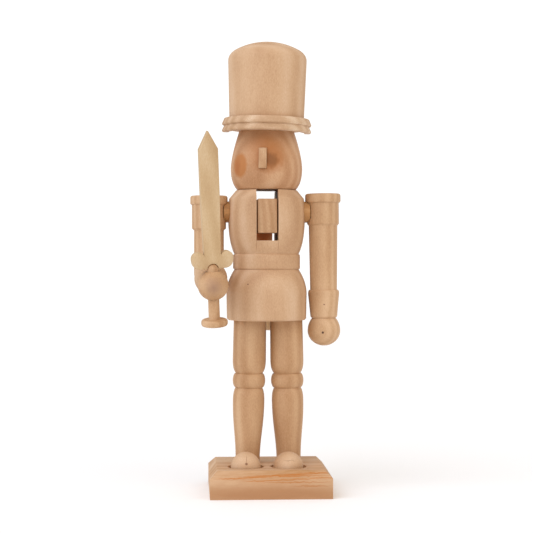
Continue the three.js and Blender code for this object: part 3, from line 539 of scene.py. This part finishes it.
for side, word, turning in ((1, "left", leg), (-1, "right", other_leg)):
    leg_wood = birch(
        f"sanded birch, {word} leg", pith=(side * 30, 40 + side * 8, 0), lean=(1.6, side * 1.2, 0), rings=5,
        tones=("#A87C53", "#BB926A", "#CBA67F"),
    )
    leg_place = stance @ at(side * STANCE, 0, BASE_HEIGHT + GLUE) @ turned("Y", -side * LEG_SPLAY)
    settle(turning, f"{word}_leg", leg_wood, leg_place)

# %% [markdown]
# ## Torso
#
# Skirt, belt and chest are one turning. A saw then opens a slot from front to back, down to a flat
# floor, for the jaw. The pin's hole runs across near the back, and each shoulder has a shallow round
# seat with a hole for its peg. The slot's walls and floor are darkened in the finish as painted shade,
# and the saw's marks run on a little below the slot's corners.

# %% Torso
HEM, SKIRT, WAIST, BELT, CHEST, SHOULDER, NECK = 22.1, 22.4, 17.9, 18.7, 21.4, 20.8, 17.05
SKIRT_Z, BELT_Z, CHEST_Z, CHEST_FULL_Z, NECK_Z = 14.5, 28.2, 36.6, 57.6, 72.1
HEM_CHAMFER, BELT_ROUND = 0.8, 1.5
torso_line = [(0, 0), (HEM - HEM_CHAMFER, 0), (HEM, HEM_CHAMFER), (22.25, 7), (SKIRT, SKIRT_Z)]
torso_line += bend((SKIRT, SKIRT_Z), (SKIRT, (SKIRT_Z + BELT_Z) / 2), (WAIST, BELT_Z), 16)
torso_line += bend((WAIST, BELT_Z), (BELT, BELT_Z), (BELT, BELT_Z + BELT_ROUND), 6)
torso_line += [(BELT, (BELT_Z + CHEST_Z) / 2), (BELT, CHEST_Z - BELT_ROUND)]
torso_line += bend((BELT, CHEST_Z - BELT_ROUND), (BELT, CHEST_Z), (WAIST, CHEST_Z), 6)
torso_line += bend((WAIST, CHEST_Z), (CHEST, 43.6), (CHEST, CHEST_FULL_Z), 18)
torso_line += bend((CHEST, CHEST_FULL_Z), (CHEST, 62.55), (SHOULDER, 67.5), 8)
torso_line += [(NECK, NECK_Z), (0, NECK_Z)]
torso = turn("torso_turning", torso_line, steps=128)
print("torso turned from", len(torso_line), "points")

# %% Slot, pin hole and seats
HEM_Z = BASE_HEIGHT + GLUE + LEG_LENGTH + GLUE
SHOULDER_DROP = 12
SHOULDER_Z = HEM_Z + NECK_Z - SHOULDER_DROP
SLOT_X, SLOT_WIDTH, SLOT_FLOOR = -0.5, 12, 44
BAR_HALF, MOUTH_GAP = 5.5, 5.2
PIVOT = (15.8, HEM_Z + NECK_Z - MOUTH_GAP - BAR_HALF)
PIN, COLLAR, PEG = 1.5, 5.9, 3
PIN_ROOM, PEG_ROOM = 0.25, 0.2
PIN_HOLE, COLLAR_SEAT, PEG_HOLE = PIN + PIN_ROOM, COLLAR + PEG_ROOM, PEG + PEG_ROOM
SEAT_DEPTH, PEG_DEPTH, HOLE_ROOM = 1.7, 7.5, 0.4
CHEST_SEAT = CHEST - SEAT_DEPTH
torso_place = figure @ at(0, 0, HEM_Z)
slot_half = SLOT_WIDTH / 2
carve(torso, block((SLOT_X - slot_half, -40, SLOT_FLOOR), (SLOT_X + slot_half, 40, 90)))
carve(torso, drill(PIN_HOLE, 60, at(-30, PIVOT[0], PIVOT[1] - HEM_Z) @ turned("Y", 90)))
for side in (1, -1):
    outwards = turned("Y", side * 90)
    carve(torso, drill(COLLAR_SEAT, 10, at(side * CHEST_SEAT, 0, SHOULDER_Z - HEM_Z) @ outwards))
    hole_end = at(side * (CHEST_SEAT - PEG_DEPTH - HOLE_ROOM), 0, SHOULDER_Z - HEM_Z)
    carve(torso, drill(PEG_HOLE, 9, hole_end @ outwards))
ease(torso, 0.3)
torso_marks_and_slot_shade = [
    # Painted shade: the first two marks darken the slot's walls and floor. The rest are saw marks and
    # specks.
    ((-1.4, 3, 153.2), (8, 17, 30), "#4E2B14", 20, 0),
    ((-1.4, 6, 138.8), (6.4, 14, 3), "#86471C", 6, 0),
    ((-7.4, -15, 136), (0.3, 9, 4), "#9C7048", 0.9, 0.2),
    ((4.6, -15, 136), (0.3, 9, 4), "#9C7048", 0.9, 0.2),
    ((-12.1, -16.5, 114.9), (0.5, 2, 0.5), "#6B4630", 3, 0.1),
    ((12.7, -13.2, 135.8), (0.5, 2, 0.5), "#8A6142", 2, 0.1),
]
torso_wood = birch("sanded birch, torso", pith=(-8, 70, 100), lean=(1.5, -1, 0), rings=7, marks=torso_marks_and_slot_shade)
settle(torso, "torso", torso_wood, torso_place)

# %% [markdown]
# ## Jaw lever and pin
#
# One board makes the jaw in front, the bar through the slot and the long tail behind the skirt. It
# turns on a steel pin, and it hangs with the mouth half open. Its outline is sawn from the side, so it
# is drawn in profile, extruded across, and stood on end in the slot. When the mouth is shut the tail
# stands upright beside the skirt.

# %% Jaw lever and pin
JAW_RECESS, JAW_HEIGHT, JAW_DEPTH, JAW_SLOPE, JAW_FILLET = 2.1, 18.8, 14, 0.8, 7
TAIL_HALF, TAIL_LENGTH, TAIL_ROOM = 4, 71.8, 0.8
JAW_ROOM = 0.65  # between the lever and each wall of the slot
LEVER_WIDTH = SLOT_WIDTH - 2 * JAW_ROOM
CHIN_Z = HEM_Z + NECK_Z + GLUE
STOP_ROOM = 0.3  # between jaw and chin when the mouth is shut
face, jaw_foot = -(CHEST - JAW_RECESS + PIVOT[0]), BAR_HALF - JAW_HEIGHT
jaw_back, lip = face + JAW_DEPTH, face + JAW_SLOPE
inner = SKIRT + TAIL_ROOM - PIVOT[0]
outer, round_z = inner + 2 * TAIL_HALF, TAIL_HALF - TAIL_LENGTH
lean = asin((CHIN_Z - STOP_ROOM - PIVOT[1]) / hypot(lip, BAR_HALF)) - atan2(BAR_HALF, -lip)


def on_tail(x, z):
    """A point of the tail, drawn upright and then swung back to rest."""
    return (x * cos(lean) - z * sin(lean), x * sin(lean) + z * cos(lean))


tip = on_tail(inner + TAIL_HALF, round_z)
crook = (BAR_HALF + inner * sin(lean)) / cos(lean)
outer_top = on_tail(outer, BAR_HALF - outer * sin(lean) / cos(lean))
lever_line = [(face, jaw_foot), (jaw_back, jaw_foot)]
lever_line += bend((jaw_back, jaw_foot), (jaw_back, -BAR_HALF), (jaw_back + JAW_FILLET, -BAR_HALF), 8)
lever_line += [on_tail(inner, -crook), on_tail(inner, round_z)]
lever_line += arc(tip, (TAIL_HALF, TAIL_HALF), 180 + degrees(lean), 360 + degrees(lean), 14)[1:]
lever_line += [on_tail(outer, -BAR_HALF)]
lever_line += bend(on_tail(outer, -BAR_HALF), outer_top, (outer_top[0] - 2 * TAIL_HALF, BAR_HALF), 10)
lever_line += [(lip, BAR_HALF), (face, BAR_HALF - JAW_HEIGHT / 2)]
lever_place = figure @ at(SLOT_X, *PIVOT)
lever = saw("jaw_lever_board", lever_line + lever_line[:1], LEVER_WIDTH)
lever.matrix_world = turned("Z", 90)
pick(lever)
bpy.ops.object.transform_apply(location=True, rotation=True, scale=True)
carve(lever, drill(PIN_HOLE, 30, at(-15, 0, 0) @ turned("Y", 90)))
ease(lever, 0.6)
# Poplar board is plain and straight grained, so it looks flatter than the turnings.
BOARD = ("#A67A51", "#B78E67", "#C8A57F")
# The first mark makes the tail paler. The second is painted shade, darkening the bar's root behind the
# slot.
lever_pale_tail_and_root_shade = [
    ((-1.4, 30, 108), (14, 13, 40), "#D9BE90", 1.6, 1.0),
    ((-1.4, 25, 143), (9, 8, 12), "#A2581F", 2.2, 1.0),
]
lever_wood = birch(
    "sawn poplar, lever", pith=(30, 10, 150), lean=(4, 0, 0), tones=BOARD, rings=3, marks=lever_pale_tail_and_root_shade,
)
settle(lever, "jaw_lever", lever_wood, lever_place)

PIN_HALF, PIN_EDGE = 13.4, 0.2
pin_end = [(PIN, PIN_HALF - PIN_EDGE), (PIN - PIN_EDGE, PIN_HALF), (0, PIN_HALF)]
pin = turn("jaw_pin_rod", [(x, -z) for x, z in reversed(pin_end)] + pin_end, steps=32)
ease(pin, 0.05)
# Drawn steel is a bright grey with a soft shine, the only metal on the figure.
steel = bpy.data.materials.new("drawn steel, pin")
steel.use_nodes = True
bright = steel.node_tree.nodes["Principled BSDF"]
bright.inputs["Metallic"].default_value = 1
draw_lines = add(steel.node_tree, "ShaderNodeTexNoise", {
    "Vector": add(steel.node_tree, "ShaderNodeTexCoord").outputs["Object"],
    "Scale": 1 / (0.4 * MM), "Detail": 3.0,
}).outputs["Fac"]
tint = add(steel.node_tree, "ShaderNodeValToRGB", {"Fac": draw_lines})
tint.color_ramp.elements[0].color = linear("#9EA0A2")
tint.color_ramp.elements[1].color = linear("#C9CBCD")
steel.node_tree.links.new(tint.outputs["Color"], bright.inputs["Base Color"])
bright.inputs["Roughness"].default_value = 0.32
settle(pin, "jaw_pin", steel, lever_place @ turned("Y", 90))

# %% [markdown]
# ## Head and nose
#
# The head is an egg with a flat chin and crown. It was turned from a branchy bit of the log, so a brown
# knot shows on one cheek and another behind the nose. Its upper part, from round the nose up under the
# visor, is darkened orange as painted shade. The nose is a small wedge of board let into a mortise, a
# little to one side.

# %% Head and nose
CHIN, CHEEK, CROWN = 16.3, 19.9, 15.2
CHEEK_Z, HEAD_HEIGHT = 11.5, 32.8
NOSE_WIDTH, NOSE_HEIGHT, NOSE_ROOT = 4.3, 11.2, CHEEK - 4
NOSE_BRIDGE, NOSE_TIP = CHEEK + 0.7, CHEEK + 2.5
NOSE_Z, NOSE_TURN, NOSE_FIT = 10.9, -9, 0.05
head_line = [(0, 0), (CHIN, 0)]
head_line += bend((CHIN, 0), (CHEEK, CHEEK_Z / 3), (CHEEK, CHEEK_Z), 18)
head_line += bend((CHEEK, CHEEK_Z), (CHEEK, (2 * CHEEK_Z + HEAD_HEIGHT) / 3), (CROWN, HEAD_HEIGHT), 24)
head_line += [(0, HEAD_HEIGHT)]
head = turn("head_turning", head_line, steps=128)
head_place = figure @ at(0, 0, CHIN_Z)
nose_place = head_place @ at(0, 0, NOSE_Z) @ turned("Z", NOSE_TURN)
mortise_half = NOSE_WIDTH / 2 + NOSE_FIT
mortise_back = GLUE - NOSE_ROOT
mortise = block((-mortise_half, -40, -NOSE_FIT), (mortise_half, mortise_back, NOSE_HEIGHT + NOSE_FIT))
mortise.matrix_world = head_place.inverted() @ nose_place @ mortise.matrix_world
carve(head, mortise)
ease(head, 0.25)
head_knots_and_visor_shade = [
    ((-16.2, -9.2, 180.1), (5, 8, 7.6), "#B0713A", 3.4, 1.6),
    ((-17.6, -8.2, 179.5), (2.4, 4, 6), "#A8652F", 1.6, 2.0),
    # Painted shade: this wide orange mark darkens the upper head under the visor and round the nose.
    ((-0.9, -14, 189), (15, 11, 15), "#AC6E38", 1.1, 4),
    ((-0.4, -16.5, 182.8), (9, 8, 8), "#A46530", 1.6, 4),
    ((0.8, -17, 182.6), (4.6, 4, 5), "#8A5526", 1.6, 4),
]
head_wood = birch("sanded birch, head", pith=(14, 52, 180), lean=(6, -4, 0), rings=5, marks=head_knots_and_visor_shade,
                  tones=("#A97850", "#BD8F67", "#CEA681"))
settle(head, "head", head_wood, head_place)

nose_line = [(-NOSE_ROOT, 0), (-NOSE_ROOT, NOSE_HEIGHT), (-NOSE_BRIDGE, NOSE_HEIGHT), (-NOSE_TIP, 0)]
nose = saw("nose_wedge", nose_line + nose_line[:1], NOSE_WIDTH)
ease(nose, 0.35)
nose_wood = birch("sawn poplar, nose", pith=(20, 30, 180), lean=(3, 2, 0), tones=BOARD, rings=3)
settle(nose, "nose", nose_wood, nose_place @ turned("Z", 90))

# %% [markdown]
# ## Hat and visor
#
# The hat widens slightly upwards, turns over a rounded shoulder and ends in a low dome. Its visor is
# half of a turned ring with two beads, glued on in front, and it droops a little to one side. Spinning
# through half a turn gives the half ring, and its two sawn ends are then filled.

# %% Hat and visor
HAT_FOOT, HAT, HAT_HEIGHT, HAT_LEAN = 20.6, 21.9, 49, 0.8
DOME, DOME_RISE, HAT_SHOULDER = 17.5, 4.4, 6.1
dome_z = HAT_HEIGHT - DOME_RISE
side_z = dome_z - HAT_SHOULDER
ball = (DOME ** 2 + DOME_RISE ** 2) / (2 * DOME_RISE)
dome_edge = asin(DOME / ball)
hat_line = [(0, 0), (HAT_FOOT, 0), (21.03, 12.8), (21.47, 25.6), (HAT, side_z)]
hat_line += bend((HAT, side_z), (HAT, dome_z - (HAT - DOME) * tan(dome_edge)), (DOME, dome_z), 14)
hat_line += arc((0, HAT_HEIGHT - ball), (ball, ball), 90 - degrees(dome_edge), 90, 16)[1:]
hat = turn("hat_turning", hat_line, steps=128)
ease(hat, 0.3)
hat_lift = CROWN * sin(radians(HAT_LEAN))
hat_place = figure @ at(0, 0, CHIN_Z + HEAD_HEIGHT + GLUE + hat_lift) @ turned("Y", HAT_LEAN)
hat_wood = birch("sanded birch, hat", pith=(20, 60, 220), lean=(2, 2.5, 0), rings=8,
                 tones=("#B58C66", "#C7A27D", "#D5B595"))
settle(hat, "hat", hat_wood, hat_place)

VISOR, VISOR_EDGE, VISOR_ROUND = 24.9, 23.7, 1.2
VISOR_HEIGHT, VISOR_BEAD, VISOR_DROP, VISOR_TILT = 7.8, 3.7, 1.7, 0.4
rim = HAT_FOOT + (HAT - HAT_FOOT) / side_z * (VISOR_HEIGHT - VISOR_DROP) + GLUE
visor_line = [(rim, 0)]
for bead in (0, VISOR_BEAD):
    visor_line += [(VISOR_EDGE, bead)]
    visor_line += bend((VISOR_EDGE, bead), (VISOR, bead), (VISOR, bead + VISOR_ROUND), 6)
visor_line += [(VISOR_EDGE, VISOR_HEIGHT), (rim, VISOR_HEIGHT), (rim, 0)]
visor = turn("hat_visor_half_ring", visor_line, steps=96, sweep=180)
ease(visor, 0.2)
visor_wood = birch("turned poplar, visor", pith=(0, 40, 204), lean=(0, 88, 4), rings=5,
                   tones=("#AC855F", "#C29E7B", "#D8BD9E"))
settle(visor, "hat_visor", visor_wood, hat_place @ at(0, 0, -VISOR_DROP) @ turned("Y", VISOR_TILT))

# %% [markdown]
# ## Arms
#
# Each arm has a bead at the shoulder, a sleeve, a slim shaft, a cuff and a ball for the hand. The left
# one hangs straight. The right one, from thicker stock, is sawn through at the elbow, turned half about
# and glued, so its forearm points forward. Both halves are turned in line here, and bisect makes the
# slanting cut.

# %% Arms
HAND_RISE, WRIST = 7.2, 6.5
CUFF_LENGTH, CUFF_TAPER, CUFF_ROUND = 15.7, 1.1, 2.2
BEAD_HEIGHT, BEAD_ROUND, SLEEVE_CHAMFER = 5.1, 1.4, 1.1
PEG_TAIL, HOLE_START = 5, 0.2


def hand_line(middle, hand, drop, cuff, shaft):
    """Hand and cuff, from the hand's tip up to the shaft."""
    wrist, stretch = middle + HAND_RISE, HAND_RISE / sqrt(1 - (WRIST / hand) ** 2)
    low, top = cuff - CUFF_TAPER, wrist + CUFF_LENGTH
    line = arc((0, middle), (hand, drop), -90, 0, 20)
    line += arc((0, middle), (hand, stretch), 0, degrees(asin(HAND_RISE / stretch)), 14)[1:]
    line += bend((WRIST, wrist), (low, wrist), (low, wrist + CUFF_ROUND), 6) + [(cuff, top - CUFF_ROUND)]
    return line + bend((cuff, top - CUFF_ROUND), (cuff, top), (shaft, top), 6)


def shoulder_line(top, length, shaft, sleeve, bead):
    """Sleeve and bead, from the shaft upwards."""
    foot = top - BEAD_HEIGHT
    line = [(shaft, foot - length), (sleeve, foot - length + SLEEVE_CHAMFER), (sleeve, foot)]
    line += bend((sleeve, foot), (bead, foot), (bead, foot + BEAD_ROUND), 6) + [(bead, top - BEAD_ROUND)]
    return line + bend((bead, top - BEAD_ROUND), (bead, top), (bead - BEAD_ROUND, top), 6) + [(0, top)]


def cut_seat(arm, tilt, side, seat):
    """Carves a round seat for the peg's collar, and the hole for its tail."""
    depth = HOLE_START + PEG_TAIL + HOLE_ROOM
    carve(arm, drill(COLLAR_SEAT, 10, tilt @ at(-side * seat, 0, 0) @ turned("Y", -side * 90)))
    hole = tilt @ at(-side * (seat + HOLE_START), 0, 0) @ turned("Y", side * 90)
    carve(arm, drill(PEG_HOLE, depth, hole))


LEFT_X, LEFT_SEAT, LEFT_LEAN = 31.6, 7.2, 0.5
left_line = hand_line(middle=-66.2, hand=9.1, drop=8.4, cuff=8.7, shaft=7.5)
left_line += shoulder_line(top=10.3, length=12.8, shaft=8, sleeve=8.9, bead=9.9)
left_arm = turn("left_arm_turning", left_line)
cut_seat(left_arm, turned("Y", LEFT_LEAN), 1, LEFT_SEAT)
ease(left_arm, 0.15)
left_marks = [
    ((29.8, -6, 88), (0.75, 2.5, 0.75), "#54341F", 4, 0.1),
    ((30.6, -5.2, 103.5), (0.45, 2.5, 0.45), "#7A5336", 3, 0.1),
]
arm_tones = ("#AE835A", "#C19A72", "#D0AC86")
left_wood = birch(
    "sanded birch, left arm", pith=(55, 34, 120), lean=(1.5, 2, 0), tones=arm_tones, marks=left_marks,
)
settle(left_arm, "left_arm", left_wood, figure @ at(LEFT_X, 0, SHOULDER_Z) @ turned("Y", -LEFT_LEAN))

# %% Right arm
RIGHT_X, RIGHT_SEAT, RIGHT_TURN = 32.1, 7.8, 2.4
RIGHT_SHAFT, RIGHT_HAND = 8.3, 8.2
ELBOW_Z, HAND_Z, ELBOW_BEND = -33.9, -39.1, 81
GRIP, SWORD_LEAN, SWORD_TWIST = 3, -2.7, 11
half_bend = radians(ELBOW_BEND / 2)
spare = 2 * RIGHT_SHAFT  # stock past the elbow, for the slanting cut
upper_line = [(0, ELBOW_Z - spare), (RIGHT_SHAFT, ELBOW_Z - spare), (RIGHT_SHAFT, ELBOW_Z)]
upper_line += shoulder_line(top=9, length=14.2, shaft=RIGHT_SHAFT, sleeve=9.5, bead=10.4)
upper_arm = turn("right_upper_arm_turning", upper_line)
cut_seat(upper_arm, turned("Z", -RIGHT_TURN), -1, RIGHT_SEAT)
fore_line = hand_line(middle=HAND_Z, hand=RIGHT_HAND, drop=RIGHT_HAND, cuff=9, shaft=RIGHT_SHAFT)
fore_line += [(RIGHT_SHAFT, 0), (RIGHT_SHAFT, spare), (0, spare)]
forearm = turn("right_forearm_turning", fore_line)
cuts = (
    (upper_arm, Vector((0, sin(half_bend), cos(half_bend))), Vector((0, 0, ELBOW_Z)), True),
    (forearm, Vector((0, -sin(half_bend), cos(half_bend))), Vector((0, 0, 0)), False),
)
for piece, normal, middle, above in cuts:
    pick(piece)
    bpy.ops.object.mode_set(mode="EDIT")
    bpy.ops.mesh.select_all(action="SELECT")
    spot = middle * MM + normal * (GLUE / 2 if above else -GLUE / 2) * MM
    bpy.ops.mesh.bisect(
        plane_co=spot, plane_no=normal, use_fill=True, clear_inner=above, clear_outer=not above,
    )
    bpy.ops.object.mode_set(mode="OBJECT")
sword_turn = turned("X", 90) @ turned("Y", SWORD_LEAN) @ turned("Z", SWORD_TWIST)
carve(forearm, drill(GRIP + PEG_ROOM, 40, at(0, 0, HAND_Z) @ sword_turn @ at(0, 0, -20)))
ease(upper_arm, 0.15)
ease(forearm, 0.15)
right_place = figure @ at(-RIGHT_X, 0, SHOULDER_Z) @ turned("Z", RIGHT_TURN)
forearm_place = right_place @ at(0, 0, ELBOW_Z) @ turned("X", -ELBOW_BEND)
upper_wood = birch("sanded birch, right upper arm", pith=(-60, 30, 130), lean=(-2, 1, 0), tones=arm_tones)
settle(upper_arm, "right_upper_arm", upper_wood, right_place)
fist = forearm_place @ Vector((0, 0, (HAND_Z - RIGHT_HAND) * MM))
fist_marks = [(list(fist / MM), (6.5, 4, 6.5), "#9F7A5E", 1.1, 2.5)]
fore_wood = birch(
    "sanded birch, right forearm", pith=(-44, -20, 92), lean=(-81, 2, 0), rings=12, tones=arm_tones,
    marks=fist_marks,
)
settle(forearm, "right_forearm", fore_wood, forearm_place)

# %% [markdown]
# ## Shoulder pegs
#
# Each arm turns on a round peg, and its thick collar shows between the arm and the chest. The peg is
# one stepped turning. It rides with its arm.

# %% Shoulder pegs
for side, word, seat in ((1, "left", LEFT_X - LEFT_SEAT), (-1, "right", RIGHT_X - RIGHT_SEAT)):
    start, end = CHEST_SEAT - PEG_DEPTH, seat + PEG_TAIL
    collar_start, collar_end = CHEST_SEAT + GLUE, seat - GLUE
    peg_line = [(0, start), (PEG, start), (PEG, collar_start), (COLLAR, collar_start)]
    peg_line += [(COLLAR, collar_end), (PEG, collar_end), (PEG, end), (0, end)]
    peg = turn(f"{word}_shoulder_peg_turning", peg_line, steps=64)
    ease(peg, 0.25)
    # The pegs' darker, more orange tones are painted shade, for the collar's place between arm and chest.
    peg_wood = birch(
        f"turned birch, {word} peg", pith=(0, 20, 170), lean=(4, 90, 0), rings=3,
        tones=("#A2703C", "#B3804A", "#C1925E"),
    )
    settle(peg, f"{word}_shoulder_peg", peg_wood, figure @ at(0, 0, SHOULDER_Z) @ turned("Y", side * 90))

# %% [markdown]
# ## Sword
#
# Blade and guard are sawn from one thin pale board, with two round lobes for the guard and an arch at
# its foot. The grip is a turned peg that goes through the hand, with a pommel like a button below. Its
# domed end fits the arch.

# %% Sword
GUARD_HALF, GUARD_FOOT, LOBE = 11.3, 6.3, 3.6
BLADE_HALF, ROOT_HALF, BLADE_THICKNESS = 5.1, 4.5, 3.8
BLADE_TAPER, BLADE_POINT = 30, 9.6
GRIP_DOME, GRIP_DROP, ARCH_FIT = 2.6, 10.1, 0.05
GUARD_LIFT = 0.8
GUARD_Z = RIGHT_HAND + GUARD_LIFT  # heights along the sword, from the middle of the hand
LOBE_Z, ROOT_Z, TIP_Z = GUARD_Z + 5.6, GUARD_Z + 7.2, GUARD_Z + 72.8
half_blade = [(GUARD_FOOT, GUARD_Z)]
half_blade += bend((GUARD_FOOT, GUARD_Z), (GUARD_HALF, GUARD_Z), (GUARD_HALF, LOBE_Z), 10)
half_blade += arc((GUARD_HALF - LOBE, LOBE_Z), (LOBE, LOBE), 0, 130, 14)[1:]
half_blade += [(ROOT_HALF, ROOT_Z), (BLADE_HALF, ROOT_Z + BLADE_TAPER), (BLADE_HALF, TIP_Z - BLADE_POINT)]
arch = arc((0, GUARD_Z), (GRIP + ARCH_FIT, GRIP_DOME + ARCH_FIT), 180, 0, 16)
blade_line = half_blade + [(0, TIP_Z)] + [(-x, z) for x, z in reversed(half_blade)] + arch
blade = saw("sword_blade_board", blade_line + blade_line[:1], BLADE_THICKNESS)
ease(blade, 0.4)
sword_place = forearm_place @ at(0, 0, HAND_Z) @ sword_turn
blade_wood = birch("sawn poplar, sword", pith=(-60, 10, 150), lean=(2, 4, 0), rings=3,
                   tones=("#B5946A", "#C2A47B", "#CFB590"))
settle(blade, "sword_blade", blade_wood, sword_place)

POMMEL, POMMEL_HEIGHT, POMMEL_ROUND = 7.1, 3.8, 1.8
high = -RIGHT_HAND - GRIP_DROP
low = high - POMMEL_HEIGHT
flat = POMMEL - POMMEL_ROUND
grip_line = [(0, low), (flat, low)] + bend((flat, low), (POMMEL, low), (POMMEL, low + POMMEL_ROUND), 8)
grip_line += [(POMMEL, high - POMMEL_ROUND)]
grip_line += bend((POMMEL, high - POMMEL_ROUND), (POMMEL, high), (flat, high), 8)
grip_line += [(GRIP, high), (GRIP, GUARD_Z)] + arc((0, GUARD_Z), (GRIP, GRIP_DOME), 0, 90, 10)[1:]
grip = turn("sword_grip_turning", grip_line, steps=64)
ease(grip, 0.15)
grip_wood = birch("turned birch, grip", pith=(-20, 0, 110), lean=(4, 3, 0), tones=arm_tones, rings=3)
settle(grip, "sword_grip", grip_wood, sword_place)

# %% [markdown]
# ## Hidden dowels
#
# The dowels inside the joints keep their shape from the frame, because nothing of them shows. They
# still get a wood of their own, so that the figure can be taken apart.

# %% Hidden dowels
dowel_wood = birch("rolled birch, dowels", pith=(9, 9, 0), tones=("#BF9A6E", "#D3B68F", "#E2CBA8"), rings=3)
hidden = [node for node in frame["nodes"] if node.endswith("_dowel")]
for node in hidden:
    frame["nodes"][node].data.materials.clear()
    frame["nodes"][node].data.materials.append(dowel_wood)
print("dowels:", len(hidden))
